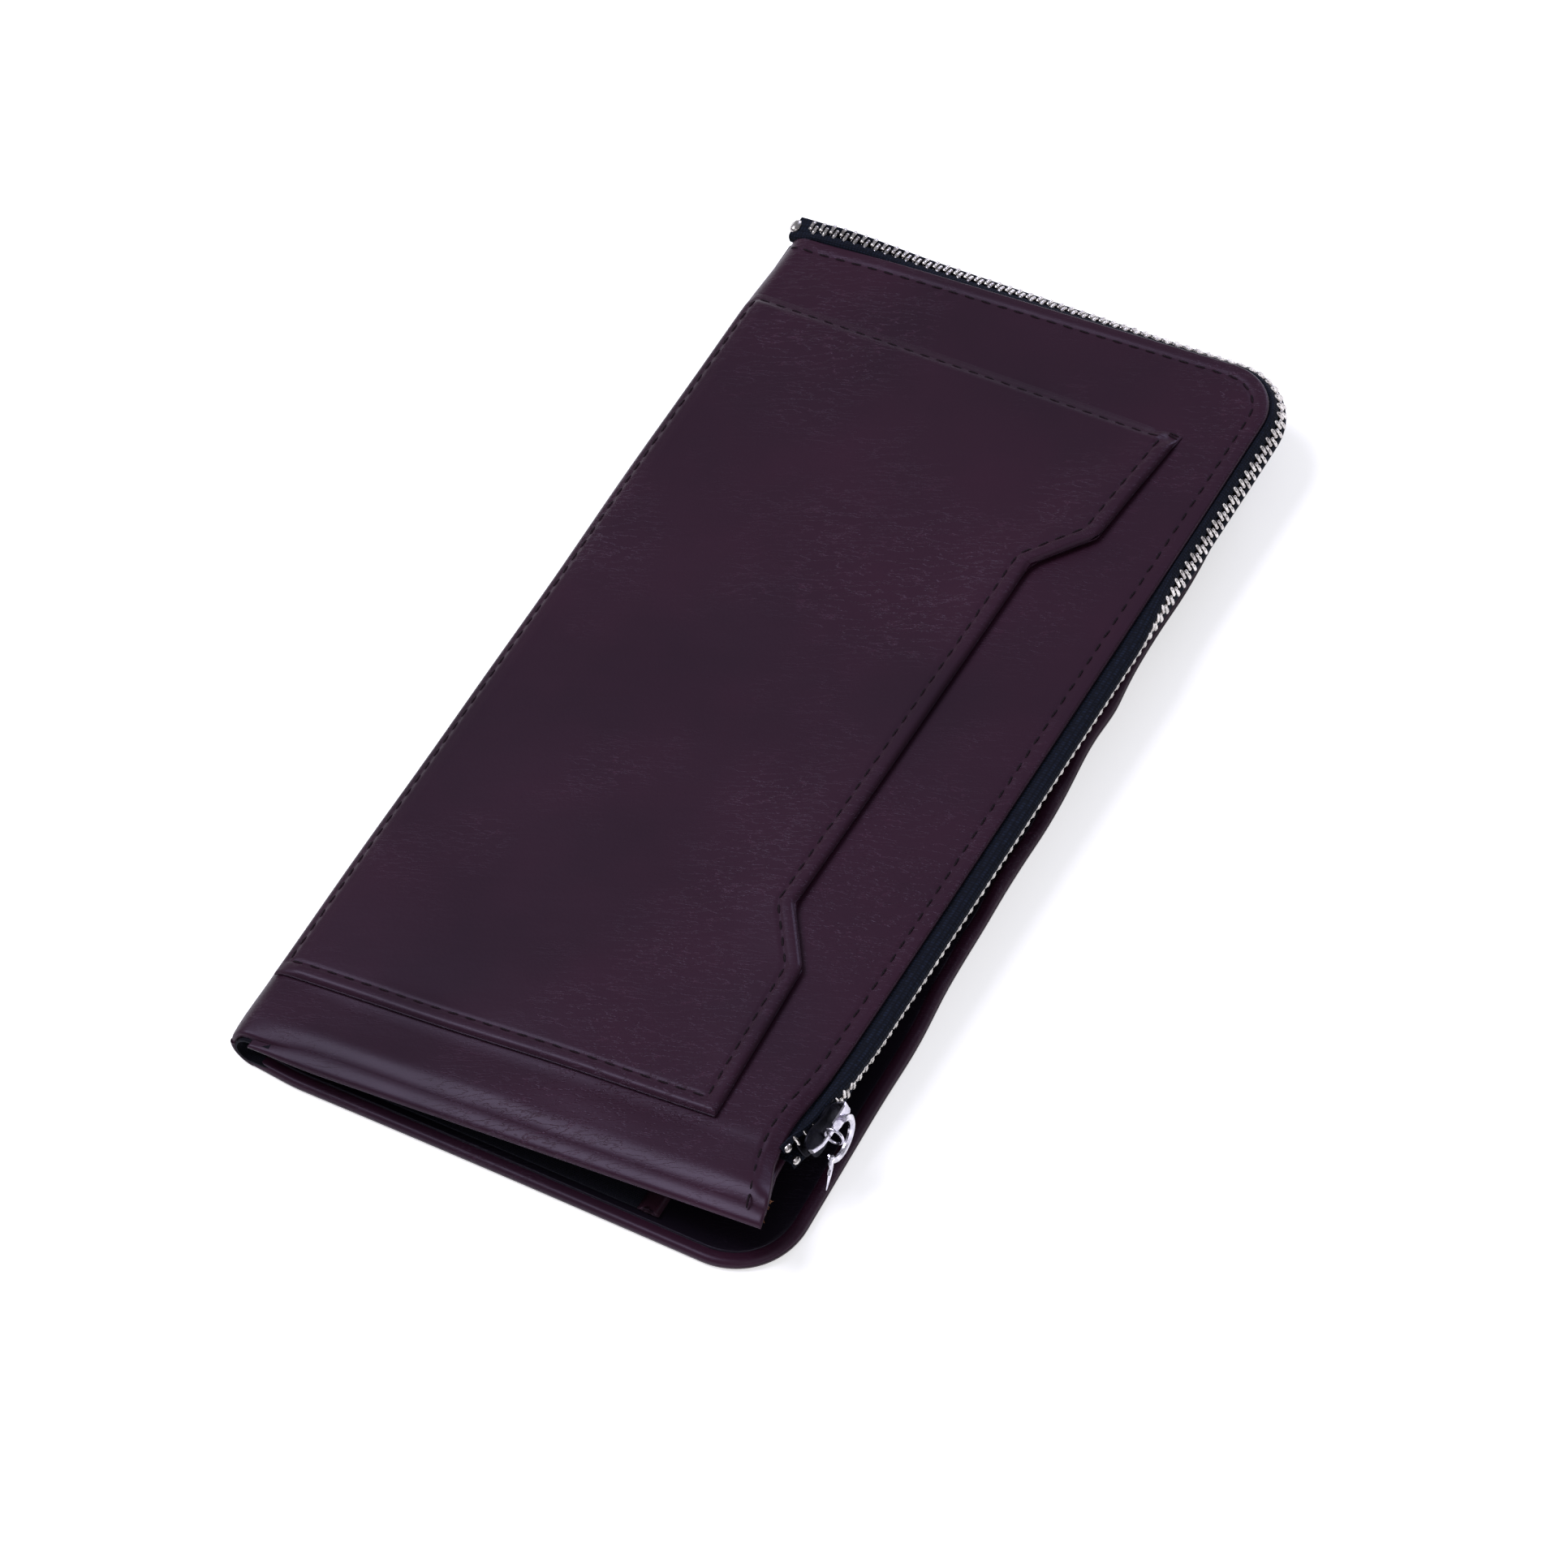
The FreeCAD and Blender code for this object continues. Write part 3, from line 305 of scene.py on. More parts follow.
# ------------------------------------------------------------------ finishes
class Nodes:
    """A short way to lay out a material's nodes."""

    def __init__(self, name: str) -> None:
        """Makes an empty material with an output and a main shader."""
        self.material = bpy.data.materials.new(name)
        self.material.use_nodes = True
        self.tree = self.material.node_tree
        self.tree.nodes.clear()
        self.output = self.tree.nodes.new("ShaderNodeOutputMaterial")
        self.shader = self.tree.nodes.new("ShaderNodeBsdfPrincipled")
        self.link(self.shader.outputs["BSDF"], self.output.inputs["Surface"])

    def link(self, start: bpy.types.NodeSocket, end: bpy.types.NodeSocket) -> None:
        """Joins two sockets."""
        self.tree.links.new(start, end)

    def add(self, kind: str, **values: object) -> bpy.types.Node:
        """Adds a node, sets its properties, and sets or links its inputs given by name."""
        node = self.tree.nodes.new(kind)
        for key, value in values.items():
            if hasattr(node, key) and key not in node.inputs:
                setattr(node, key, value)
                continue
            socket = node.inputs[key.replace("_", " ")]
            if isinstance(value, bpy.types.NodeSocket):
                self.link(value, socket)
            else:
                socket.default_value = value
        return node

    def place(self, scale: Sequence[float] = (1, 1, 1), turn: float = 0.0,
              source: str = "Object") -> bpy.types.NodeSocket:
        """Surface coordinates, turned about Z and then scaled."""
        coords = self.add("ShaderNodeTexCoord")
        turned = self.add("ShaderNodeMapping", Rotation=(0, 0, math.radians(turn)))
        self.link(coords.outputs[source], turned.inputs["Vector"])
        scaled = self.add("ShaderNodeMapping", Scale=tuple(scale))
        self.link(turned.outputs["Vector"], scaled.inputs["Vector"])
        return scaled.outputs["Vector"]

    def noise(self, vector: bpy.types.NodeSocket, scale: float, detail: float = 3.0,
              roughness: float = 0.55) -> bpy.types.NodeSocket:
        """Soft noise from 0 to 1."""
        node = self.add("ShaderNodeTexNoise", Scale=scale, Detail=detail, Roughness=roughness)
        self.link(vector, node.inputs["Vector"])
        return node.outputs["Fac"]

    def cells(self, vector: bpy.types.NodeSocket, scale: float, feature: str = "F1") -> bpy.types.NodeSocket:
        """Distance pattern of random cells."""
        node = self.add("ShaderNodeTexVoronoi", Scale=scale, feature=feature)
        self.link(vector, node.inputs["Vector"])
        return node.outputs["Distance"]

    def ramp(self, value: bpy.types.NodeSocket, low: float, high: float, start: float = 0.0,
             end: float = 1.0) -> bpy.types.NodeSocket:
        """Maps low to high onto start to end, and holds the ends."""
        node = self.add("ShaderNodeMapRange")
        self.link(value, node.inputs["Value"])
        for name, number in (("From Min", low), ("From Max", high), ("To Min", start), ("To Max", end)):
            node.inputs[name].default_value = number
        return node.outputs["Result"]

    def combine(self, operation: str, first: object, second: object) -> bpy.types.NodeSocket:
        """One sum on two values or sockets."""
        node = self.add("ShaderNodeMath", operation=operation)
        for socket, value in zip(node.inputs, (first, second)):
            if isinstance(value, bpy.types.NodeSocket):
                self.link(value, socket)
            else:
                socket.default_value = value
        return node.outputs["Value"]

    def mix(self, share: bpy.types.NodeSocket, first: Sequence[float],
            second: Sequence[float]) -> bpy.types.NodeSocket:
        """Mixes two colours."""
        node = self.add("ShaderNodeMix", data_type="RGBA")
        self.link(share, node.inputs["Factor"])
        node.inputs["A"].default_value = (*first, 1)
        node.inputs["B"].default_value = (*second, 1)
        colours = [socket for socket in node.inputs if socket.type == "RGBA"]
        colours[0].default_value = (*first, 1)
        colours[1].default_value = (*second, 1)
        return next(socket for socket in node.outputs if socket.type == "RGBA")

    def bump(self, height: bpy.types.NodeSocket, depth_mm: float, strength: float = 1.0,
             below: Optional[bpy.types.NodeSocket] = None) -> bpy.types.NodeSocket:
        """A relief of that depth, laid over another."""
        node = self.add("ShaderNodeBump", Strength=strength, Distance=depth_mm * MM)
        self.link(height, node.inputs["Height"])
        if below is not None:
            self.link(below, node.inputs["Normal"])
        return node.outputs["Normal"]


@dataclass(frozen=True)
class LeatherFinish:
    """Smooth drum-dyed leather with a fine grain, long creases and a satin top coat."""

    name: str
    deep: tuple[float, float, float]
    # the pale colour serves both the random lighter tone and the painted highlight along the creases
    pale_and_glint: tuple[float, float, float]
    roughness: float = 0.44
    crease_depth: float = 0.06
    grain_depth: float = 0.022
    crease_turn: float = -22.0
    coat: float = 0.05

    def material(self) -> Material:
        """Colour, gloss and relief all follow the same grain and creases; the creases carry a painted highlight.

        Returns:
            The material.
        """
        n = Nodes(self.name)
        base = n.place()
        along = n.place(scale=(0.22, 1.0, 1.0), turn=self.crease_turn)
        clouds = n.noise(base, 26, 3)
        patches = n.ramp(n.noise(base, 34, 2), 0.44, 0.74)
        pebble = n.cells(base, 1500)
        fine = n.noise(base, 2600, 2)
        crease = n.noise(along, 860, 3, 0.55)
        line = n.combine("ABSOLUTE", n.combine("SUBTRACT", crease, 0.5), 0.0)
        groove = n.ramp(line, 0.0, 0.03, 1.0, 0.0)
        groove = n.combine("MULTIPLY", groove, patches)
        grain = n.combine("ADD", n.combine("MULTIPLY", pebble, 0.8), n.combine("MULTIPLY", fine, 0.5))
        shade = n.combine("ADD", n.combine("MULTIPLY", clouds, 0.9), n.combine("MULTIPLY", groove, 0.07))
        tone = n.ramp(shade, 0.28, 0.78)
        # painted highlight: creases, already added to the tone above, are painted lighter again in noisy patches as
        # glints
        crease_glints = n.combine("MULTIPLY", groove, n.ramp(n.noise(base, 420, 2), 0.5, 0.66))
        colour = n.mix(n.combine("ADD", tone, n.combine("MULTIPLY", crease_glints, 1.1)), self.deep, self.pale_and_glint)
        n.link(colour, n.shader.inputs["Base Color"])
        rough = n.combine("ADD", n.ramp(clouds, 0.3, 0.7, self.roughness + 0.05, self.roughness - 0.05),
                          n.combine("MULTIPLY", groove, -0.08))
        n.link(rough, n.shader.inputs["Roughness"])
        relief = n.bump(grain, self.grain_depth, 0.5)
        relief = n.bump(groove, -self.crease_depth, 0.85, relief)
        relief = n.bump(n.noise(along, 150, 3), 0.4, 0.2, relief)
        n.link(relief, n.shader.inputs["Normal"])
        n.shader.inputs["Specular IOR Level"].default_value = 0.22
        n.shader.inputs["Specular Tint"].default_value = (0.80, 0.74, 1.0, 1.0)
        n.shader.inputs["Coat Weight"].default_value = self.coat
        n.shader.inputs["Coat Roughness"].default_value = 0.25
        return n.material


@dataclass(frozen=True)
class WeaveFinish:
    """Plain woven cloth, its threads laid along the piece's own surface coordinates."""

    name: str
    dark: tuple[float, float, float]
    light: tuple[float, float, float]
    thread_mm: float = 0.42
    roughness: float = 0.85
    depth: float = 0.08

    def material(self) -> Material:
        """Two crossed sets of threads, with painted light on their crowns and painted shade between them.

        Returns:
            The material.
        """
        n = Nodes(self.name)
        base = n.place(source="UV")
        split = n.add("ShaderNodeSeparateXYZ")
        n.link(base, split.inputs[0])
        pitch = math.pi / self.thread_mm
        waves = []
        for axis in ("X", "Y"):
            wave = n.combine("SINE", n.combine("MULTIPLY", split.outputs[axis], pitch), 0.0)
            waves.append(n.combine("ABSOLUTE", wave, 0.0))
        cloth = n.combine("MULTIPLY", waves[0], waves[1])
        fleck = n.noise(base, 1.6, 2)
        # painted light and shade: the colour follows the weave's height, light on the crowns and dark between
        # threads
        share = n.combine("MULTIPLY", cloth, n.ramp(fleck, 0.35, 0.7, 0.1, 1.0))
        n.link(n.mix(share, self.dark, self.light), n.shader.inputs["Base Color"])
        n.link(n.bump(cloth, self.depth, 0.6), n.shader.inputs["Normal"])
        n.shader.inputs["Roughness"].default_value = self.roughness
        n.shader.inputs["Specular IOR Level"].default_value = 0.15
        return n.material


@dataclass(frozen=True)
class MetalFinish:
    """Plated metal, brighter and duller in soft random clouds, with fine polishing marks."""

    name: str
    bright: tuple[float, float, float]
    dull: tuple[float, float, float]
    roughness: float = 0.2

    def material(self) -> Material:
        """Bright plate with duller clouds and fine scratches.

        Returns:
            The material.
        """
        n = Nodes(self.name)
        base = n.place()
        clouds = n.noise(base, 700, 3)
        n.link(n.mix(n.ramp(clouds, 0.35, 0.65), self.bright, self.dull), n.shader.inputs["Base Color"])
        rough = n.ramp(n.noise(base, 1900, 2), 0.3, 0.7, self.roughness - 0.06, self.roughness + 0.1)
        n.link(rough, n.shader.inputs["Roughness"])
        n.link(n.bump(n.noise(n.place(scale=(1, 0.1, 1)), 5200, 2), 0.01, 0.25), n.shader.inputs["Normal"])
        n.shader.inputs["Metallic"].default_value = 1.0
        return n.material


@dataclass(frozen=True)
class ThreadFinish:
    """Waxed sewing thread, twisted."""

    name: str
    dark: tuple[float, float, float]
    light: tuple[float, float, float]

    def material(self) -> Material:
        """Twist drawn as slanted bands across each stitch.

        Returns:
            The material.
        """
        n = Nodes(self.name)
        base = n.place()
        wave = n.add("ShaderNodeTexWave", Scale=900.0, Distortion=0.6, bands_direction="DIAGONAL")
        n.link(base, wave.inputs["Vector"])
        n.link(n.mix(wave.outputs["Fac"], self.dark, self.light), n.shader.inputs["Base Color"])
        n.link(n.bump(wave.outputs["Fac"], 0.04, 0.4), n.shader.inputs["Normal"])
        n.shader.inputs["Roughness"].default_value = 0.7
        n.shader.inputs["Specular IOR Level"].default_value = 0.12
        return n.material


@dataclass(frozen=True)
class PlainFinish:
    """Even surface with a faint mottle, for the floor, which may glow a little, and for the stiffening board."""

    name: str
    colour: tuple[float, float, float]
    other: tuple[float, float, float]
    scale: float = 40.0
    roughness: float = 0.8
    glow: float = 0.0

    def material(self) -> Material:
        """Two near colours in soft clouds.

        Returns:
            The material.
        """
        n = Nodes(self.name)
        clouds = n.noise(n.place(), self.scale, 3)
        n.link(n.mix(clouds, self.colour, self.other), n.shader.inputs["Base Color"])
        n.shader.inputs["Roughness"].default_value = self.roughness
        n.shader.inputs["Specular IOR Level"].default_value = 0.2
        n.shader.inputs["Emission Color"].default_value = (1.0, 1.0, 1.0, 1.0)
        n.shader.inputs["Emission Strength"].default_value = self.glow
        return n.material


class Finish(Enum):
    """Every finish on the wallet, by the part it is used on."""

    SHELL = LeatherFinish("shell_leather_grain", (0.0150, 0.0034, 0.0092), (0.0330, 0.0090, 0.0205))
    # INNER is near-black partly as a darker inner leather and partly as painted shade of the shadowed insides
    INNER = LeatherFinish("inner_leather_grain", (0.0035, 0.0028, 0.0048), (0.0090, 0.0060, 0.0110), 0.34, 0.06)
    BINDING = LeatherFinish("binding_leather_grain", (0.018, 0.006, 0.011), (0.038, 0.013, 0.023), 0.42)
    LINING = WeaveFinish("lining_cloth", (0.0045, 0.0045, 0.0085), (0.011, 0.011, 0.019), 0.3)
    TAPE = WeaveFinish("zipper_tape_cloth", (0.0018, 0.0026, 0.0060), (0.010, 0.016, 0.036), 0.55, 0.85, 0.14)
    TEETH = MetalFinish("nickel_silver_teeth", (0.80, 0.77, 0.74), (0.42, 0.39, 0.38), 0.22)
    HARDWARE = MetalFinish("plated_hardware", (0.80, 0.77, 0.84), (0.52, 0.50, 0.58), 0.2)
    DARK_METAL = MetalFinish("dark_slider_metal", (0.022, 0.022, 0.028), (0.012, 0.012, 0.018), 0.42)
    # the thread is darker than the leather partly as painted shade of the sunk stitch holes
    THREAD = ThreadFinish("sewing_thread", (0.0050, 0.0022, 0.0040), (0.0130, 0.0056, 0.0098))
    BOARD = PlainFinish("stiffening_board", (0.12, 0.09, 0.06), (0.16, 0.12, 0.08))
    FIBRE = PlainFinish("raw_leather_fibre", (0.20, 0.075, 0.025), (0.10, 0.035, 0.015), 3000.0)
    FLOOR = PlainFinish("studio_floor", (0.80, 0.80, 0.80), (0.82, 0.82, 0.82), 4.0, 0.8, 0.56)


class Finishes:
    """Makes each finish's material once and hands it out."""

    def __init__(self) -> None:
        """Starts with no materials made."""
        self.made: dict[Finish, Material] = {}

    def get(self, finish: Finish) -> Material:
        """The material of a finish."""
        if finish not in self.made:
            self.made[finish] = finish.value.material()
        return self.made[finish]


# ------------------------------------------------------------------ the two leaves
@dataclass
class Leaves:
    """Where the two leaves and the spine's roll lie, read from the fixed frame."""

    leather: float = 1.2
    hinge_inset: float = 3.0
    tilt: float = field(init=False)
    centre: Array = field(init=False)
    radius: float = field(init=False)
    half: float = field(init=False)
    width: float = field(init=False)
    back_near: float = field(init=False)
    back_far: float = field(init=False)

    def __post_init__(self) -> None:
        """Reads the roll's centre from the two hinges and the leaf's size and tilt from the panels' boxes."""
        hinges = {joint["name"]: joint for joint in frame["joints"]}
        low, high = hinges["spine_fold"]["pos_m"], hinges["front_fold"]["pos_m"]
        x = low[0] / MM + self.hinge_inset
        self.radius = (low[2] + high[2]) / 2 / MM
        self.centre = np.array([x, 0.0, self.radius])
        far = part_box("front_panel")[1]
        reach = far.x / MM - x
        rise = far.z / MM - self.radius
        across = math.hypot(reach, rise)
        self.tilt = math.degrees(math.atan2(rise, reach) - math.asin(self.radius / across))
        self.width = math.sqrt(across * across - self.radius * self.radius)
        self.half = far.y / MM
        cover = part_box("back_cover")[1].x / MM - x
        self.back_near = cover + 2.9
        self.back_far = cover - 5.2

    def front(self, x: Array, y: Array, z: Array) -> Array:
        """Points of the front leaf's frame in the wallet's frame.

        Args:
            x: Distance across the leaf from the roll's centre.
            y: Distance along the spine.
            z: Height over the roll's centre, square to the leaf.

        Returns:
            Points, with the coordinates in the last axis.
        """
        x, y, z = np.broadcast_arrays(np.asarray(x, float), np.asarray(y, float), np.asarray(z, float))
        c, s = math.cos(math.radians(self.tilt)), math.sin(math.radians(self.tilt))
        return np.stack([x * c - z * s, y, x * s + z * c], axis=-1) + self.centre

    def front_wrap(self, a: Array, y: Array, h: Array) -> Array:
        """Points at height h over the front leaf's outer face and round the upper half of the roll.

        On the flat the point is (a, y, radius + h); on the roll it is turned by a / radius.
        """
        a, y, h = np.broadcast_arrays(np.asarray(a, float), np.asarray(y, float), np.asarray(h, float))
        angle = np.minimum(a, 0.0) / self.radius
        reach = self.radius + h
        return self.front(np.maximum(a, 0.0) + reach * np.sin(angle), y, reach * np.cos(angle))

    def back_wrap(self, a: Array, y: Array, h: Array) -> Array:
        """Points at height h inside the back leaf's outer face and round the lower half of the roll.

        On the flat the point is (a, y, h) from the resting face; on the roll it is turned by a / radius.
        """
        a, y, h = np.broadcast_arrays(np.asarray(a, float), np.asarray(y, float), np.asarray(h, float))
        angle = np.minimum(a, 0.0) / self.radius
        reach = self.radius - h
        x = np.maximum(a, 0.0) + reach * np.sin(angle)
        return np.stack([x, y, -reach * np.cos(angle)], axis=-1) + self.centre

    def bend_front(self, piece: MeshObject) -> None:
        """Bakes the transform of a piece of the front leaf into its points."""
        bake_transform(piece)

    def bend_back(self, piece: MeshObject) -> None:
        """Bakes the transform of a piece of the back leaf into its points."""
        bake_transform(piece)

    def back_edge(self, y: Array) -> Array:
        """The back leaf's free edge, which leans in towards the far end."""
        share = (np.asarray(y, float) + self.half) / (2 * self.half)
        return self.back_near + (self.back_far - self.back_near) * share


def row_positions(half: float, near: Array, far: Array, step: float) -> Array:
    """Positions along the leaf: close to each end at given distances from it, and evenly between."""
    low, high = -half + near[-1], half - far[-1]
    count = max(2, int(round((high - low) / step)) + 1)
    middle = np.linspace(low, high, count)[1:-1]
    return np.concatenate([-half + near, middle, (half - far)[::-1]])


def column_positions(left: Array, right: Array, near: Array, far: Array, count: int) -> Array:
    """Positions across the leaf for each row: at given distances from both sides, and evenly between.

    Args:
        left: Left side of each row.
        right: Right side of each row.
        near: Distances from the left side.
        far: Distances from the right side.
        count: How many positions lie between.

    Returns:
        Rows by columns.
    """
    low, high = left + near[-1], right - far[-1]
    share = np.linspace(0, 1, count + 2)[1:-1]
    middle = low[:, None] + (high - low)[:, None] * share[None, :]
    return np.concatenate([left[:, None] + near[None, :], middle, right[:, None] - far[::-1][None, :]], axis=1)


def corner_distance(across: Array, near: Array, far: Array, near_radius: float, far_radius: float) -> Array:
    """Distance inside an edge that runs along three sides with two round corners.

    Args:
        across: Distance inside the free side.
        near: Distance inside the near end.
        far: Distance inside the far end.
        near_radius: Radius of the corner at the near end.
        far_radius: Radius of the corner at the far end.

    Returns:
        The distance to the outline: to the nearest side, or in a corner to its arc.
    """
    result = np.minimum(across, np.minimum(near, far))
    for end, radius in ((near, near_radius), (far, far_radius)):
        gap_x, gap_y = radius - across, radius - end
        arc = radius - np.hypot(np.maximum(gap_x, 0), np.maximum(gap_y, 0))
        result = np.where((gap_x > 0) & (gap_y > 0), arc, result)
    return np.maximum(result, 0.0)


def corner_pull(distance: Array, radius: float) -> Array:
    """How far a round corner pulls the free side in, at a distance from the end of the leaf."""
    inside = np.clip(radius - distance, 0.0, radius)
    return radius - np.sqrt(np.maximum(radius * radius - inside * inside, 0.0))


def corner_rows(radius: float, count: int) -> Array:
    """Distances from the end of a leaf at equal angles round its corner, finest at the very end."""
    return radius * (1.0 - np.cos(np.linspace(0, math.pi / 2, count)))


# ------------------------------------------------------------------ front leaf
@dataclass
class FrontPanel:
    """The pouch's outer leather, from the middle of the spine to the zipped edges."""

    leaves: Leaves
    finishes: Finishes
    far_radius: float = 10.5
    near_radius: float = 1.3
    edge_radius: float = 0.52
    seam_inset: float = 2.75
    start_angle: float = 90.0
    fold_radius: float = 5.4
    fold_depth: float = 0.55
    step_depth: float = 0.28
    step_start: float = 13.5
    step_end: float = 14.7
    spine_setback: float = 1.5
    free_setback: float = 1.9
    dent: float = 1.5
    dent_place: float = 19.0
    curl_depth: float = 0.9
    flare: float = 2.5
    flare_length: float = 12.0

    def start(self) -> float:
        """Unrolled position of the panel's left side, at the middle of the spine."""
        turn = 180.0 - self.start_angle - self.leaves.tilt
        return -math.radians(turn) * self.leaves.radius

    def edge_distance(self, a: Array, y: Array) -> Array:
        """Distance inside the panel's outline."""
        half, width = self.leaves.half, self.leaves.width
        return corner_distance(width + self.widening(y) - a, y + half, half - y, self.near_radius, self.far_radius)

    def widening(self, y: Array) -> Array:
        """How far the free side spreads out at the folded end, and draws in where the slider pulls on it."""
        near = y + self.leaves.half
        flare = self.flare * (1 - smooth(near, 0.0, self.flare_length))
        return flare - self.dent * bell(near, self.dent_place, 8.5)

    def face(self, a: Array, y: Array) -> Array:
        """Height of the outer face without its rounded edge.

        The near end falls away as a soft fold, the far end by the spine is pressed down, the seam lies in a
        shallow groove with a fuller lip outside it, and slow ripples cover the whole.
        """
        half, width = self.leaves.half, self.leaves.width
        near, far = y + half, half - y
        flat = smooth(a, -2.0, 6.0)
        fall = edge_drop(near, self.fold_radius) * self.fold_depth
        fall = fall + self.step_depth * (1 - smooth(near, self.step_start, self.step_end))
        fall = fall * (0.12 + 0.88 * smooth(a, -3.0, 14.0))
        press = 0.7 * (1 - smooth(far, 0.0, 22.0)) * bell(a, 1.0, 11.0)
        lip = self.edge_distance(a, y)
        grooved = smooth(near, 4.0, 9.0) * smooth(a, 0.0, 3.0)
        groove = -0.16 * bell(lip, self.seam_inset, 0.45) * grooved
        fuller = 0.10 * bell(lip, 1.45, 0.75) * grooved
        slow = 0.12 * ripple(a, y, 3, 46.0) * smooth(lip, 1.0, 9.0)
        belly = 0.2 * np.sin(np.clip(a / width, 0, 1) * math.pi) * smooth(near, 0, 30) * smooth(far, 0, 30)
        creased = 0.07 * ripple(a * 0.5, y * 1.2, 11, 13.0) * smooth(near, 1.0, 4.0) * (1 - smooth(near, 6.0, 17.0))
        curl = -0.35 * bell(a, width, 7.0) * smooth(near, 16.0, 60.0) * smooth(far, 5.0, 40.0)
        rolled = self.curl_depth * (1 - smooth(width + self.widening(y) - a, 0.0, 3.6)) ** 1.5
        rolled = rolled * smooth(near, 1.0, 6.0) * (1 - smooth(near, 20.0, 36.0))
        return -fall - press + groove + fuller + slow + belly + creased * flat + curl - rolled

    def settle(self, a: Array, y: Array) -> Array:
        """Draws the near end of the roll in a little, as its open end is rounded."""
        near = y + self.leaves.half
        depth = self.free_setback + (self.spine_setback - self.free_setback) * (1 - smooth(a, -4.0, 12.0))
        return y + depth * (1 - smooth(near, 0.0, 16.0))

    def build(self) -> MeshObject:
        """Makes the panel's shell.

        Returns:
            The piece.
        """
        leaves = self.leaves
        near = np.concatenate([edge_steps(self.edge_radius, 6), np.arange(0.9, 12.0, 0.5)])
        far = corner_rows(self.far_radius, 30)
        y = row_positions(leaves.half, near, far, 1.1)
        pull = corner_pull(leaves.half - y, self.far_radius) + corner_pull(y + leaves.half, self.near_radius)
        left = np.full_like(y, self.start())
        right = leaves.width + self.widening(y) - pull
        steps = np.concatenate([edge_steps(self.edge_radius, 6), np.arange(0.8, 6.6, 0.28)])
        roll = np.linspace(0, -self.start() + 1.0, 22)
        a = column_positions(left, right, roll, steps, 64)
        rows = np.broadcast_to(y[:, None], a.shape)
        face = self.face(a, rows)
        lip = self.edge_distance(a, rows)
        drop = edge_drop(lip, self.edge_radius)
        rows = self.settle(a, rows)
        upper = leaves.front_wrap(a, rows, face - drop)
        lower = leaves.front_wrap(a, rows, face - leaves.leather + drop)
        piece = make_shell("front_panel_leather", upper, lower, self.finishes.get(Finish.SHELL))
        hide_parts("front_panel", "spine_leather")
        leaves.bend_front(piece)
        return piece


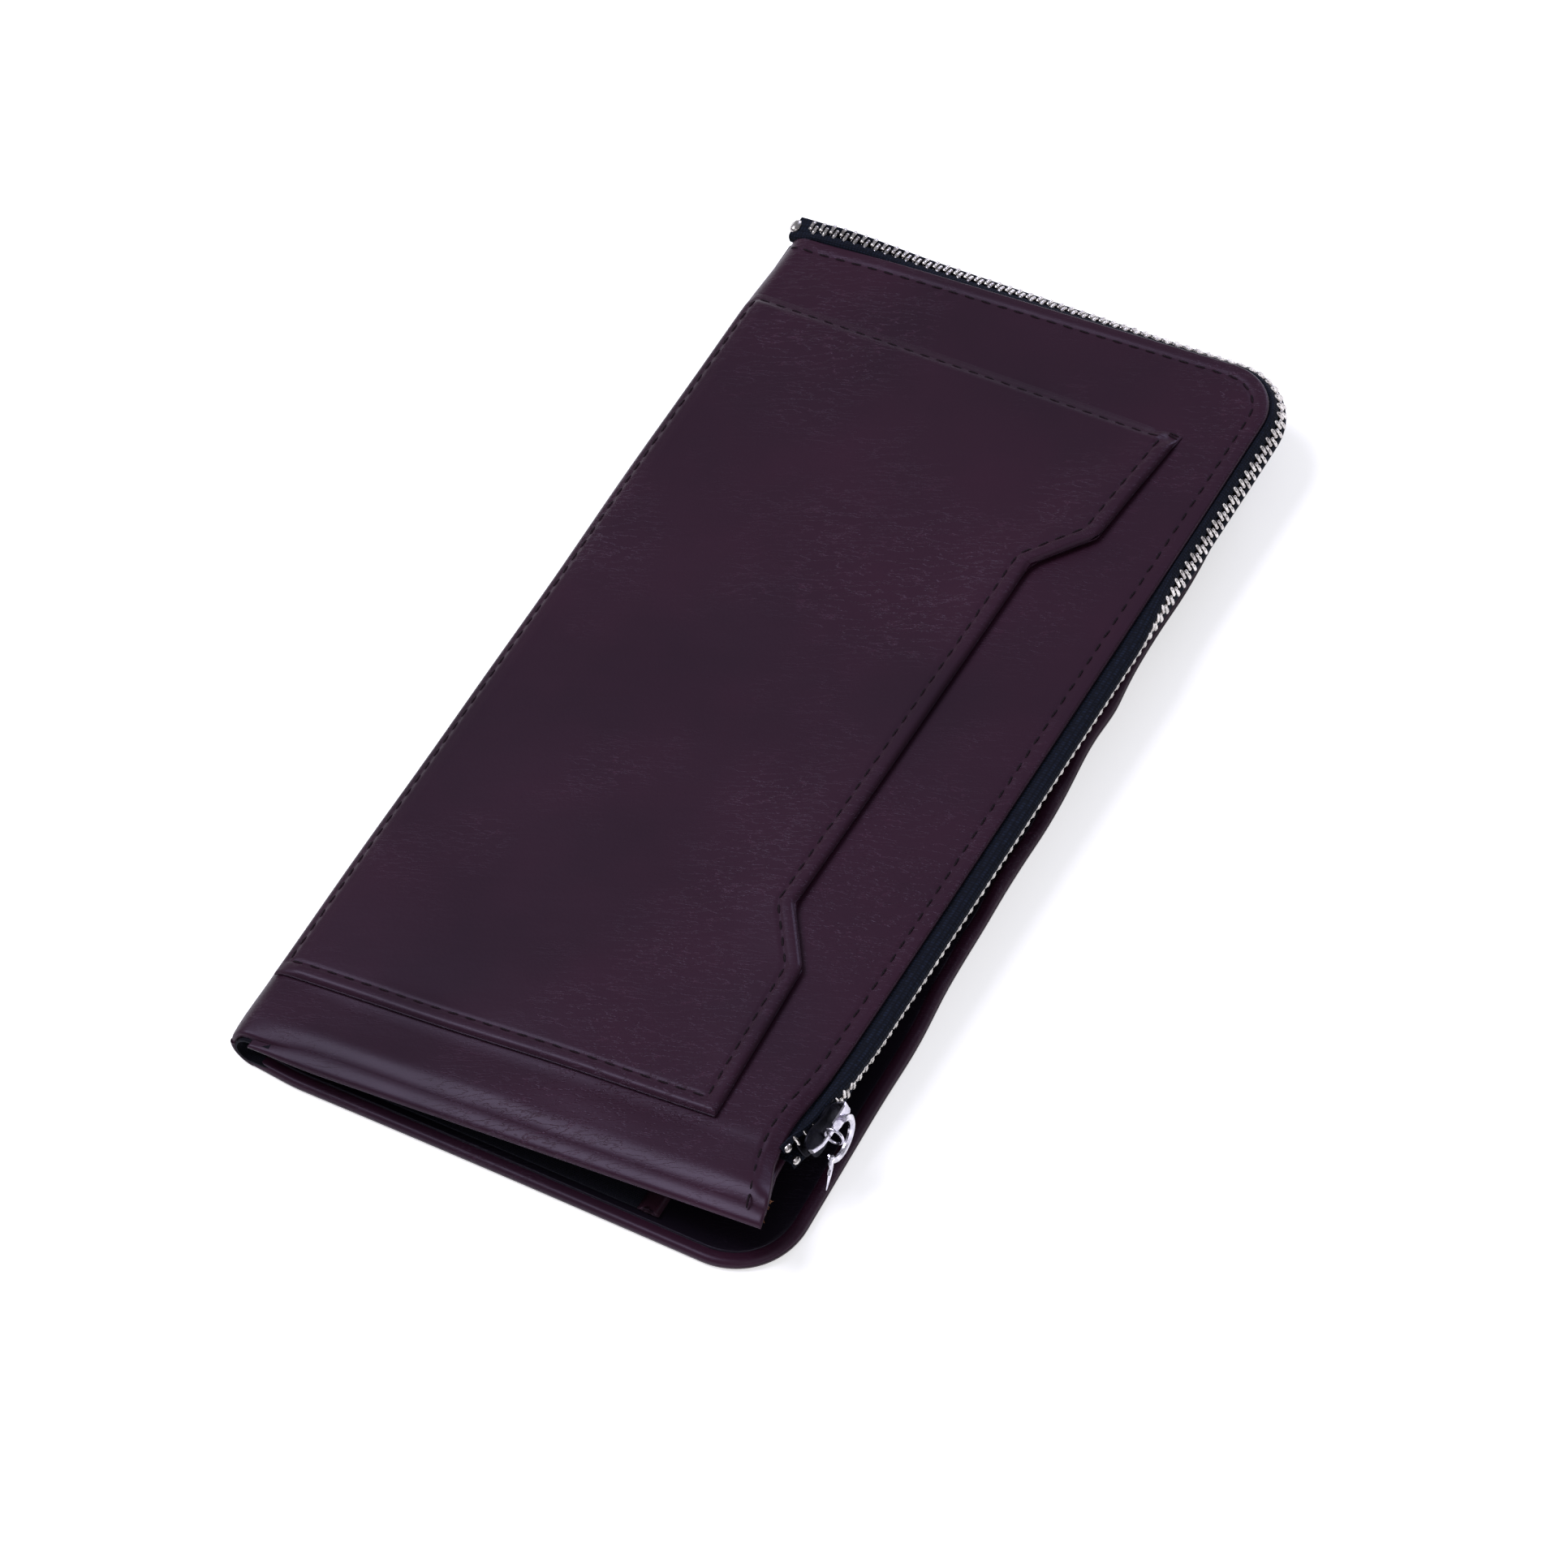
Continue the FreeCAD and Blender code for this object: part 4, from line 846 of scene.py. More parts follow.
@dataclass
class SlipPocket:
    """The stepped pocket on the front leaf: a turned edge all round, sewn on three sides and at its corners."""

    panel: FrontPanel
    leaves: Leaves
    finishes: Finishes
    thickness: float = 1.15
    thin: float = 0.12
    gap: float = 0.06
    seam_inset: float = 2.7
    thin_inset: float = 1.5
    left_near: tuple[float, float] = (-2.5, 14.3)
    left_far: tuple[float, float] = (-2.5, 178.3)
    mouth: tuple[tuple[float, float], ...] = (
        (13.2, 15.2), (14.5, 47.3), (22.0, 58.7), (20.9, 139.0), (13.3, 148.5), (10.9, 175.0))

    def corners(self) -> Array:
        """The pocket's outline, anticlockwise from its near left corner, in unrolled coordinates."""
        half, width = self.leaves.half, self.leaves.width
        mouth = [(width - gap, along - half) for gap, along in self.mouth]
        left = [(a, along - half) for a, along in (self.left_near, self.left_far)]
        return np.array([left[0], *mouth, left[1]])

    def mouth_line(self, share: Array) -> tuple[Array, Array]:
        """Points of the open side at a share of its length along the leaf, its bends slightly rounded."""
        corners = self.corners()[1:-1]
        along = (corners[:, 1] - corners[0, 1]) / (corners[-1, 1] - corners[0, 1])
        soft = 0.006
        x = np.zeros_like(share)
        y = np.zeros_like(share)
        for shift in (-soft, 0.0, soft):
            moved = np.clip(share + shift * np.minimum(1, np.minimum(share, 1 - share) / soft), 0, 1)
            x += np.interp(moved, along, corners[:, 0]) / 3
            y += np.interp(moved, along, corners[:, 1]) / 3
        return x, y

    def lift(self, a: Array, y: Array) -> Array:
        """How far the open side stands off the panel, most at its two inner bends and least where it is sewn."""
        corners = self.corners()
        open_side = np.interp(y, corners[1:-1, 1], corners[1:-1, 0])
        inside = np.maximum(open_side - a, 0.0)
        ends = smooth(y, corners[1, 1] + 1.0, corners[1, 1] + 16.0)
        ends = ends * (1 - smooth(y, corners[-2, 1] - 16.0, corners[-2, 1] - 1.0))
        wave = 1.0 + 0.45 * bell(y, corners[3, 1], 14.0) + 0.45 * bell(y, corners[4, 1], 14.0)
        return 0.3 * ends * wave * (1 - smooth(inside, 0.0, 14.0))

    def seam_outline(self) -> Array:
        """Where the seam runs: well inside the turned sides and close to the two thinned ones."""
        corners = self.corners()
        line = inset_outline(corners, self.seam_inset)
        shift = self.seam_inset - self.thin_inset
        line[[0, -1], 0] -= shift
        line[-2:, 1] += shift * np.array([0.5, 1.0])
        return line

    def thinned(self, a: Array, y: Array) -> tuple[Array, Array]:
        """Distances from the far side and from the spine side, whose leather is pared thin."""
        corners = self.corners()
        start, end = corners[-1], corners[-2]
        run = (end - start) / np.linalg.norm(end - start)
        far = (a - start[0]) * run[1] - (y - start[1]) * run[0]
        return np.maximum(far, 0.0), np.maximum(a - start[0], 0.0)

    def pared(self, far: Array, spine: Array) -> Array:
        """Share of the full thickness that the paring leaves, at distances from the two thinned sides."""
        return smooth(far, 0.0, 3.4) * (0.45 + 0.55 * smooth(spine, 0.0, 4.2))

    def face(self, a: Array, y: Array) -> Array:
        """Height of the pocket's outer face without its rounded edge."""
        lip = segment_distance(a, y, self.corners())
        far, spine = self.thinned(a, y)
        pared = self.pared(far, spine)
        seam = segment_distance(a, y, self.seam_outline())
        groove = -0.17 * bell(seam, 0.0, 0.42)
        turned = 0.24 * smooth(lip, 0.0, 1.0) * (1 - smooth(lip, 1.6, 3.0))
        turned = turned * smooth(far, 2.5, 5.0) * smooth(spine, 1, 5)
        slow = 0.06 * ripple(a, y, 21, 34.0) * smooth(lip, 3.0, 5.5)
        corner = np.hypot(a - self.corners()[-2, 0] + 3.0, y - self.corners()[-2, 1] + 1.0)
        tack = 0.16 * ripple(a, y, 27, 3.2) * np.exp(-(corner / 3.0) ** 2)
        base = self.panel.face(a, y)
        body = self.gap + self.thin + (self.thickness - self.thin) * pared
        return base + body + (groove + turned + slow + tack) + self.lift(a, y)

    def build(self) -> MeshObject:
        """Makes the pocket's shell: rows run across from the spine side to the open side.

        Returns:
            The piece.
        """
        leaves = self.leaves
        corners = self.corners()
        radius = 0.66
        near = np.concatenate([edge_steps(radius, 6), np.arange(0.85, 5.0, 0.3)])
        length = corners[-2, 1] - corners[1, 1]
        rows = row_positions(0.5, near / length, near / length, 1.0 / length) + 0.5
        bends = (corners[1:-1, 1] - corners[1, 1]) / length
        rows = np.unique(np.concatenate([rows, bends[1:-1]]))
        mouth_x, mouth_y = self.mouth_line(rows)
        left_y = corners[0, 1] + (corners[-1, 1] - corners[0, 1]) * rows
        left = np.full_like(rows, corners[0, 0])
        a = column_positions(left, mouth_x, near, near, 66)
        across = (a - left[:, None]) / (mouth_x - left)[:, None]
        y = left_y[:, None] + (mouth_y - left_y)[:, None] * across
        face = self.face(a, y)
        lip = segment_distance(a, y, corners)
        pared = self.pared(*self.thinned(a, y))
        drop = edge_drop(lip, radius) * (0.12 + 0.88 * pared)
        thick = self.thin + (self.thickness - self.thin) * pared
        upper = leaves.front_wrap(a, y, face - drop)
        lower = leaves.front_wrap(a, y, face - thick + 0.5 * drop)
        piece = make_shell("slip_pocket_leather", upper, lower, self.finishes.get(Finish.SHELL))
        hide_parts("slip_pocket")
        leaves.bend_front(piece)
        return piece


@dataclass
class Seams:
    """Rows of sewn stitches on the front leaf, each sunk a little into the leather."""

    panel: FrontPanel
    pocket: SlipPocket
    leaves: Leaves
    finishes: Finishes
    pitch: float = 3.15
    length: float = 2.3
    radius: float = 0.2
    sides: int = 6

    def shape(self) -> tuple[Array, Array]:
        """One stitch: a short round thread that dips at both ends, 5 rings of points long."""
        share = np.linspace(-1, 1, 7)
        path = np.stack([share * self.length / 2, 0 * share, -0.32 * share ** 4], axis=1)
        radii = self.radius * (1 - 0.35 * share ** 4)
        points, faces = tube(path, radii, self.sides)
        return points, faces

    def along(self, line: Array) -> tuple[Array, Array]:
        """Middles and headings of the stitches on a line of points, evenly spaced."""
        steps = np.linalg.norm(np.diff(line, axis=0), axis=1)
        run = np.concatenate([[0], np.cumsum(steps)])
        count = max(1, int(round(run[-1] / self.pitch)))
        at = (np.arange(count) + 0.5) * run[-1] / count
        middle = np.stack([np.interp(at, run, line[:, i]) for i in (0, 1)], axis=1)
        ahead = np.stack([np.interp(at + 0.4, run, line[:, i]) for i in (0, 1)], axis=1)
        behind = np.stack([np.interp(at - 0.4, run, line[:, i]) for i in (0, 1)], axis=1)
        heading = ahead - behind
        return middle, heading / np.linalg.norm(heading, axis=1, keepdims=True)

    def lay(self, name: str, node: str, lines: Sequence[Array],
            face: Callable[[Array, Array], Array]) -> MeshObject:
        """Lays stitches on lines drawn on a face.

        Args:
            name: Name of the piece.
            node: CAD node that it stands for.
            lines: Lines of points in unrolled coordinates.
            face: Height of the leather at each point.

        Returns:
            The piece.
        """
        middles, headings = zip(*(self.along(line) for line in lines))
        middle, heading = np.concatenate(middles), np.concatenate(headings)
        dice = np.random.default_rng(5)
        angle = dice.normal(0, 0.05, len(middle))
        heading = np.stack([heading[:, 0] * np.cos(angle) - heading[:, 1] * np.sin(angle),
                            heading[:, 0] * np.sin(angle) + heading[:, 1] * np.cos(angle)], axis=1)
        shape, faces = self.shape()
        side = np.stack([-heading[:, 1], heading[:, 0]], axis=1)
        lengthwise = shape[None, :, :1] * heading[:, None, :]
        flat = middle[:, None, :] + lengthwise + shape[None, :, 1:2] * side[:, None, :]
        a, y = flat[..., 0], flat[..., 1]
        height = face(a, y) + shape[None, :, 2] + 0.02
        points = self.leaves.front_wrap(a, y, height).reshape(-1, 3)
        shifts = (np.arange(len(middle)) * len(shape))[:, None, None]
        all_faces = (faces[None] + shifts).reshape(-1, faces.shape[1])
        piece = make_piece(name, points, without_doubles(all_faces), self.finishes.get(Finish.THREAD))
        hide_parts(node)
        self.leaves.bend_front(piece)
        return piece

    def front_line(self) -> Array:
        """The seam along the far end, round the corner and down the free side."""
        leaves, panel = self.leaves, self.panel
        inset = panel.seam_inset
        right, far = leaves.width - inset, leaves.half - inset
        radius = panel.far_radius - inset
        angle = np.linspace(math.pi / 2, 0, 16)
        bend = np.stack([right - radius + radius * np.cos(angle), far - radius + radius * np.sin(angle)], axis=1)
        side = np.linspace(far - radius - 2.0, -leaves.half + 1.5, 70)
        side = np.stack([right + panel.widening(side), side], axis=1)
        return np.concatenate([[(-3.5, far)], bend, side])

    def build(self) -> list[MeshObject]:
        """Both seams.

        Returns:
            The two pieces.
        """
        line = self.pocket.seam_outline()
        sides = [np.array([line[i], line[(i + 1) % len(line)]]) for i in range(len(line))]
        tack = self.pocket.corners()[-2]
        sides += [np.array([tack + (-3.2, 0.1), tack + (0.4, -0.5)]),
                  np.array([tack + (-3.0, -0.5), tack + (0.2, -1.1)])]
        front = self.lay("front_seam_stitches", "front_seam_thread", [self.front_line()], self.panel.face)
        pocket = self.lay("pocket_seam_stitches", "pocket_seam_thread", sides, self.pocket.face)
        return [front, pocket]


@dataclass
class PouchBack:
    """The pouch's inner leather face, its end fold and both linings."""

    panel: FrontPanel
    leaves: Leaves
    finishes: Finishes
    spine_gap: float = 2.9
    edge_gap: float = 6.4
    end_gap: float = 2.25
    end_length: float = 26.0
    overhang: float = 0.3
    thickness: float = 0.9

    def outer(self, a: Array, y: Array) -> Array:
        """Height of the pouch's underside over the roll's centre: the pouch is flat at its folded end."""
        share = np.clip(a / self.leaves.width, 0, 1)
        gap = self.spine_gap + (self.edge_gap - self.spine_gap) * share
        opened = smooth(y + self.leaves.half, 0.5, self.end_length)
        gap = self.end_gap + (gap - self.end_gap) * opened
        fall = np.maximum(-self.panel.face(a, y) - 0.6, 0.0) * (1 - opened)
        return self.leaves.radius - gap - 0.55 * fall

    def sheet(self, name: str, node: str, finish: Finish, inset: tuple[float, float, float],
              height: Callable[[Array, Array], Array], thickness: float, radius: float) -> MeshObject:
        """One flat layer of the front leaf.

        Args:
            name: Name of the piece.
            node: CAD node that it stands for.
            finish: Its finish.
            inset: Distances inside the leaf's outline at the left, at the free side and far end, and at the
                near end.
            height: Height of its underside over the roll's centre.
            thickness: Its thickness.
            radius: Radius of its far corner.

        Returns:
            The piece.
        """
        leaves = self.leaves
        left, side, end = inset
        near = np.concatenate([edge_steps(thickness * 0.48, 5), [0.8, 1.4, 2.2, 3.2, 4.4]])
        far = np.concatenate([[0.0], corner_rows(radius, 20)[1:]])
        top, bottom = leaves.half - side, -leaves.half + end
        low, high = bottom + near[-1], top - far[-1]
        middle = np.linspace(low, high, 90)[1:-1]
        y = np.concatenate([bottom + near, middle, (top - far)[::-1]])
        spread = self.panel.widening(y)
        right = leaves.width - side + spread - corner_pull(top - y, radius)
        a = column_positions(np.full_like(y, left), right, near, near, 44)
        rows = np.broadcast_to(y[:, None], a.shape)
        lip = corner_distance(leaves.width - side + spread[:, None] - a, rows - bottom, top - rows, 0.01, radius)
        lip = np.minimum(lip, a - left)
        drop = edge_drop(lip, thickness * 0.48)
        base = height(a, rows)
        lower = leaves.front(a, rows, base + drop)
        upper = leaves.front(a, rows, base + thickness - drop)
        uv = np.stack([a, rows], axis=-1)
        piece = make_shell(name, upper, lower, self.finishes.get(finish), uv)
        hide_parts(node)
        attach(piece, "front_leaf")
        return piece

    def build(self) -> list[MeshObject]:
        """The inner face, the end fold and the two linings.

        Returns:
            The pieces.
        """
        radius = self.panel.far_radius
        back = self.sheet("pouch_back_leather", "pouch_back_panel", Finish.SHELL,
                          (0.4, -self.overhang, 0.15), self.outer, self.thickness, radius)

        def back_lining(a: Array, y: Array) -> Array:
            """Underside of the lining that lies on the pouch's inner face."""
            return self.outer(a, y) + self.thickness + 0.03

        def front_lining(a: Array, y: Array) -> Array:
            """Underside of the lining under the front panel."""
            lift = self.panel.face(a, y) - self.leaves.leather + self.leaves.radius
            return lift - 0.45

        lined = (3.0, 9.6, 4.5)
        lower = self.sheet("pouch_back_lining_cloth", "pouch_back_lining", Finish.LINING, lined,
                           back_lining, 0.3, 3.0)
        upper = self.sheet("pouch_front_lining_cloth", "pouch_front_lining", Finish.LINING, lined,
                           front_lining, 0.3, 3.0)
        return [back, lower, upper, self.end_fold()]

    def end_fold(self) -> MeshObject:
        """The narrow strip that joins the two faces along the pouch's folded end."""
        leaves = self.leaves
        a = np.linspace(2.0, leaves.width - 1.2, 60)
        y = np.array([0.55, 1.2])[:, None] - leaves.half
        low = self.outer(a[None, :], y) + 0.6
        high = leaves.radius + self.panel.face(a[None, :], y) - leaves.leather + 0.1
        upper = np.stack([leaves.front(a, np.full_like(a, y[0, 0]), height[0]) for height in (high, low)])
        lower = np.stack([leaves.front(a, np.full_like(a, y[1, 0]), height[1]) for height in (high, low)])
        piece = make_shell("pouch_end_fold_leather", upper, lower, self.finishes.get(Finish.INNER), turn=True)
        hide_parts("pouch_end_gusset")
        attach(piece, "front_leaf")
        return piece


@dataclass
class RawFibres:
    """A tuft of undyed fibres where the panel's cut edge shows beside the folded end."""

    panel: FrontPanel
    leaves: Leaves
    finishes: Finishes
    count: int = 26
    place: float = 5.0
    spread: float = 1.3
    length: float = 1.1

    def build(self) -> list[MeshObject]:
        """Short hairs that lean out and down from under the edge.

        Returns:
            The tuft.
        """
        dice = np.random.default_rng(90)
        y = -self.leaves.half + self.place + dice.normal(0, self.spread, self.count)
        a = self.leaves.width + self.panel.widening(y) - 0.55
        z = self.leaves.radius + self.panel.face(a, y) - self.leaves.leather + 0.12
        lean = np.stack([0.5 + 0.5 * dice.random(self.count), dice.normal(0, 0.5, self.count),
                         -0.6 - 0.6 * dice.random(self.count)], axis=1)
        size = self.length * dice.uniform(0.6, 1.1, self.count)
        share = np.linspace(0, 1, 4)
        points, faces, first = [], [], 0
        for i in range(self.count):
            path = np.array([a[i], y[i], z[i]]) + lean[i] * size[i] * share[:, None]
            path[:, 1] += 0.15 * np.sin(share * 3 + i)
            hair, hair_faces = tube(path, np.array([0.13, 0.12, 0.09, 0.03]), 5, normal=np.array([0.0, 1.0, 0.2]))
            points.append(self.leaves.front(hair[:, 0], hair[:, 1], hair[:, 2]))
            faces += [[k + first for k in face] for face in without_doubles(hair_faces)]
            first += len(hair)
        tuft = make_piece("raw_edge_fibres", np.concatenate(points), faces, self.finishes.get(Finish.FIBRE))
        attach(tuft, "front_leaf")
        return [tuft]


# ------------------------------------------------------------------ zipper
@dataclass
class ChainRoute:
    """The zipper's middle line from the slider's end up the free side, round the corner and along the far end."""

    leaves: Leaves
    panel: FrontPanel
    near_end: float = 16.5
    far_end: float = 4.8
    pitch: float = 2.0
    offset: float = 1.6
    parting: float = 1.25
    parting_length: float = 6.5
    settle_start: float = 50.0
    settle_end: float = 34.0

    def __post_init__(self) -> None:
        """Works out the lengths of the route's three stretches."""
        self.bend_radius = self.panel.far_radius + self.offset
        half, width = self.leaves.half, self.leaves.width
        self.straight = 2 * half - self.near_end - self.panel.far_radius
        self.bend = self.bend_radius * math.pi / 2
        self.back = width - self.panel.far_radius + self.far_end
        self.length = self.straight + self.bend + self.back

    def station(self, s: Array, values: Sequence[tuple[float, float]]) -> Array:
        """A value that changes smoothly along the route through the given (distance, value) pairs."""
        at = np.array([v[0] for v in values])
        value = np.array([v[1] for v in values])
        total = np.zeros_like(np.asarray(s, float))
        shifts = np.linspace(-3.0, 3.0, 7)
        for shift in shifts:
            total += np.interp(s + shift, at, value)
        return total / len(shifts)

    def frames(self, s: Array) -> tuple[Array, Array, Array, Array]:
        """Middle point and three axes of the chain at distances along it, in the front leaf's frame.

        Args:
            s: Distances from the route's near end.

        Returns:
            Middle points, then the directions along the chain, across it towards the front tape, and outwards.
        """
        leaves = self.leaves
        s = np.asarray(s, float)
        turn = np.clip((s - self.straight) / self.bend_radius, 0, math.pi / 2)
        over = np.maximum(s - self.straight - self.bend, 0)
        x0 = leaves.width - self.panel.far_radius
        y0 = leaves.half - self.panel.far_radius
        run = np.minimum(s, self.straight)
        x = x0 + self.bend_radius * np.cos(turn) - over
        y = np.where(s <= self.straight, -leaves.half + self.near_end + run, y0 + self.bend_radius * np.sin(turn))
        out = np.stack([np.cos(turn), np.sin(turn), 0 * turn], axis=-1)
        straight, end, bend_end = self.straight, self.length, self.straight + self.bend
        settling, settled = straight - self.settle_start, straight - self.settle_end
        lean = self.station(s, [(-9, 25), (9, 25), (15, -10), (24, -16), (settling, -18), (settled, 25),
                                (straight + 4, 25), (bend_end, 46), (bend_end + 26, 60), (end - 26, 74),
                                (end - 8, 90), (end + 6, 96)])
        drop = self.station(s, [(-9, 3.6), (11, 3.2), (24, 3.7), (settling, 3.6), (settled, 3.2),
                                (straight - 8, 3.2), (bend_end, 2.5), (bend_end + 26, 2.0), (end - 26, 1.25),
                                (end - 12, 0.35), (end - 6, 0.45), (end + 3, 2.3)])
        extra = self.station(s, [(-9, -2.6), (-2, -2.0), (5, 0.0), (24, 0.5), (settling, 0.5), (settled, 0.1),
                                 (straight - 8, 0.1), (bend_end, 0.15), (bend_end + 26, 0.35), (end - 14, 0.9),
                                 (end - 4, 0.8), (end + 3, 0.3)])
        angle = np.radians(lean)
        up = np.array([0.0, 0.0, 1.0])
        outward = out * np.cos(angle)[:, None] + up * np.sin(angle)[:, None]
        across = -out * np.sin(angle)[:, None] + up * np.cos(angle)[:, None]
        middle = np.stack([x, y, leaves.radius - drop], axis=-1) + out * extra[:, None]
        along = np.cross(across, outward)
        slope = np.gradient(middle, axis=0)
        slope /= np.maximum(np.linalg.norm(slope, axis=1, keepdims=True), 1e-9)
        forward = np.sum(slope * along, axis=1, keepdims=True) > 0
        return middle, np.where(forward, along, -along), across, outward

    def cover(self, s: Array) -> tuple[Array, Array]:
        """Where the front tape's edge lies: its distance from the middle line, and how far it stands outwards."""
        end, bend_end = self.length, self.straight + self.bend
        settling, settled = self.straight - self.settle_start, self.straight - self.settle_end
        reach = self.station(s, [(-9, 0.8), (9, 0.8), (15, 0.7), (settling, 0.7), (settled, 0.8), (bend_end, 0.8),
                                 (end, 1.0)])
        rise = self.station(s, [(-9, 0.0), (9, 0.0), (15, 0.4), (settling, 0.4), (settled, 0.0), (bend_end, 0.1),
                                (end, 0.0)])
        return reach, rise

    def spread(self, s: Array) -> Array:
        """How far each row stands off the middle line, ahead of the slider where the rows part."""
        share = np.clip((self.parting_length - np.asarray(s, float)) / self.parting_length, 0, 1)
        return self.parting * share ** 1.2


@dataclass
class Zipper:
    """Metal teeth on two woven tapes, with their stops."""

    route: ChainRoute
    panel: FrontPanel
    back: PouchBack
    leaves: Leaves
    finishes: Finishes
    reach: float = 1.5
    tape: float = 0.36
    back_spread: float = 0.35
    fan_angle: float = 26.0

    def tooth(self) -> tuple[Array, Array]:
        """One tooth, from its round head in the middle of the chain out to its two legs on the tape.

        Seven rings of eight points each along the tooth: narrow neck, full head, then legs that taper to the tape.

        Returns:
            Points as (along, across, outward) and faces.
        """
        across = np.array([-0.50, -0.42, -0.15, 0.10, 0.45, 1.15, 1.50])
        half_width = np.array([0.16, 0.34, 0.40, 0.27, 0.33, 0.36, 0.22])
        half_depth = np.array([0.25, 0.46, 0.55, 0.50, 0.62, 0.56, 0.34])
        angles = np.linspace(0, math.tau, 8, endpoint=False) + math.pi / 8
        square = 0.72
        ring_x = np.sign(np.cos(angles)) * np.abs(np.cos(angles)) ** square
        ring_z = np.sign(np.sin(angles)) * np.abs(np.sin(angles)) ** square
        points = np.stack([half_width[:, None] * ring_x, np.broadcast_to(across[:, None], (7, 8)),
                           half_depth[:, None] * ring_z], axis=-1).reshape(-1, 3)
        faces = grid_faces(7, 8, closed=True)
        ends = np.array([[0, 1, 2, 3], [0, 3, 4, 7], [4, 5, 6, 7]])
        far = ends[:, ::-1] + 48
        return points, np.concatenate([faces, ends[:, :], far])

    def teeth(self, name: str, node: str, side: int, shift: float) -> MeshObject:
        """One row of teeth.

        Args:
            name: Name of the piece.
            node: CAD node that it stands for.
            side: 1 for the row on the front tape and -1 for the row on the back tape.
            shift: Share of a pitch by which the row is moved.

        Returns:
            The piece.
        """
        pitch = self.route.pitch
        count = int((self.route.length - pitch) / pitch)
        s = (np.arange(count) + 0.5 + shift) * pitch
        middle, along, across, outward = self.route.frames(s)
        dice = np.random.default_rng(40 + side)
        wobble = dice.normal(0, 0.03, len(s))
        shape, faces = self.tooth()
        if side < 0:
            faces = faces[:, ::-1]
        spread = self.route.spread(s) * (1.0 if side > 0 else self.back_spread)
        origins = middle + across * (side * spread)[:, None]
        axes = np.stack([along + across * wobble[:, None], side * across, outward], axis=1)
        fan = np.radians(self.fan_angle) * np.clip(spread / self.route.parting, 0, 1) * side
        lengthwise = axes[:, 0] * np.cos(fan)[:, None] - axes[:, 1] * np.sin(fan)[:, None]
        turned = np.stack([lengthwise, axes[:, 1], axes[:, 2]], axis=1)
        points, all_faces = repeat_shape(shape, faces, origins, turned)
        world = self.leaves.front(points[:, 0], points[:, 1], points[:, 2])
        piece = make_piece(name, world, all_faces, self.finishes.get(Finish.TEETH))
        self.dress(piece, node)
        return piece

    def dress(self, piece: MeshObject, node: str) -> None:
        """Stands a piece for its CAD node on the front leaf."""
        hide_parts(node)
        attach(piece, "front_leaf")

    def ribbon(self, name: str, node: str, stations: Array, lines: list[Array]) -> MeshObject:
        """A woven tape through several lines of points that run along the chain.

        Args:
            name: Name of the piece.
            node: CAD node that it stands for.
            stations: Distance of each row along the chain.
            lines: Points of each line, from the tape's root to its toothed edge.

        Returns:
            The piece.
        """
        knots = np.stack(lines, axis=1)
        run = np.concatenate([[0], np.cumsum(np.linalg.norm(np.diff(knots[0], axis=0), axis=1))])
        share = np.linspace(0, 1, 17)
        steps = run / run[-1]
        blend = np.zeros((len(share), len(steps)))
        for k in range(len(steps)):
            hat = np.interp(share, steps, np.eye(len(steps))[k])
            blend[:, k] = hat
        for _ in range(2):
            inner = 0.25 * blend[:-2] + 0.5 * blend[1:-1] + 0.25 * blend[2:]
            blend = np.concatenate([blend[:1], inner, blend[-1:]])
        points = np.einsum("wk,skd->swd", blend, knots)
        across = np.gradient(points, axis=1)
        along = np.gradient(points, axis=0)
        normal = np.cross(along, across)
        normal /= np.maximum(np.linalg.norm(normal, axis=2, keepdims=True), 1e-9)
        half = np.full(points.shape[:2], self.tape / 2)
        half[:, 0] *= 0.3
        half[:, -1] *= 0.5
        half[0, :] *= 0.3
        half[-1, :] *= 0.3
        upper = points + normal * half[..., None]
        lower = points - normal * half[..., None]
        width = run[-1]
        uv = np.stack(np.broadcast_arrays(stations[:, None], share[None, :] * width), axis=-1)
        upper_w = self.leaves.front(upper[..., 0], upper[..., 1], upper[..., 2])
        lower_w = self.leaves.front(lower[..., 0], lower[..., 1], lower[..., 2])
        piece = make_shell(name, upper_w, lower_w, self.finishes.get(Finish.TAPE), uv)
        self.dress(piece, node)
        return piece

    def front_tape(self) -> MeshObject:
        """The tape from under the front panel's edge, over a soft shoulder and down to its teeth."""
        route = self.route
        s = np.linspace(-2.0, route.length - 0.5, 260)
        middle, _, across, outward = route.frames(s)
        spread = route.spread(s)[:, None]
        reach, rise = route.cover(s)
        edge = middle + across * (reach[:, None] + spread) + outward * rise[:, None]
        neck = middle + across * (self.reach + 0.45 + spread) + outward * (0.7 * rise[:, None])
        out = outward.copy()
        out[:, 2] = 0
        out /= np.linalg.norm(out, axis=1, keepdims=True)
        rim = middle - out * np.sum((middle - self.rim_point(s)) * out, axis=1)[:, None]
        root = rim - out * 4.0
        root[:, 2] = self.underside(root)
        lip = rim - out * 0.3
        lip[:, 2] = self.underside(lip) + 0.05
        shoulder = 0.5 * (lip + neck)
        lift = 0.42 * (1 - np.clip(route.spread(s) / 1.2, 0, 1)) + 0.05
        shoulder = shoulder + out * (0.35 * lift)[:, None]
        shoulder[:, 2] += lift
        return self.ribbon("zipper_tape_front_cloth", "zipper_tape_front", s, [root, lip, shoulder, neck, edge])

    def underside(self, points: Array) -> Array:
        """Height just under the front panel's leather, which bends down round the spine's roll."""
        leaves = self.leaves
        a = np.maximum(points[:, 0], 0.0)
        gap = leaves.leather + 0.22 - self.panel.face(a, points[:, 1])
        reach = leaves.radius - gap
        bent = np.sqrt(np.maximum(reach ** 2 - np.minimum(points[:, 0], 0.0) ** 2, 0.04))
        return bent

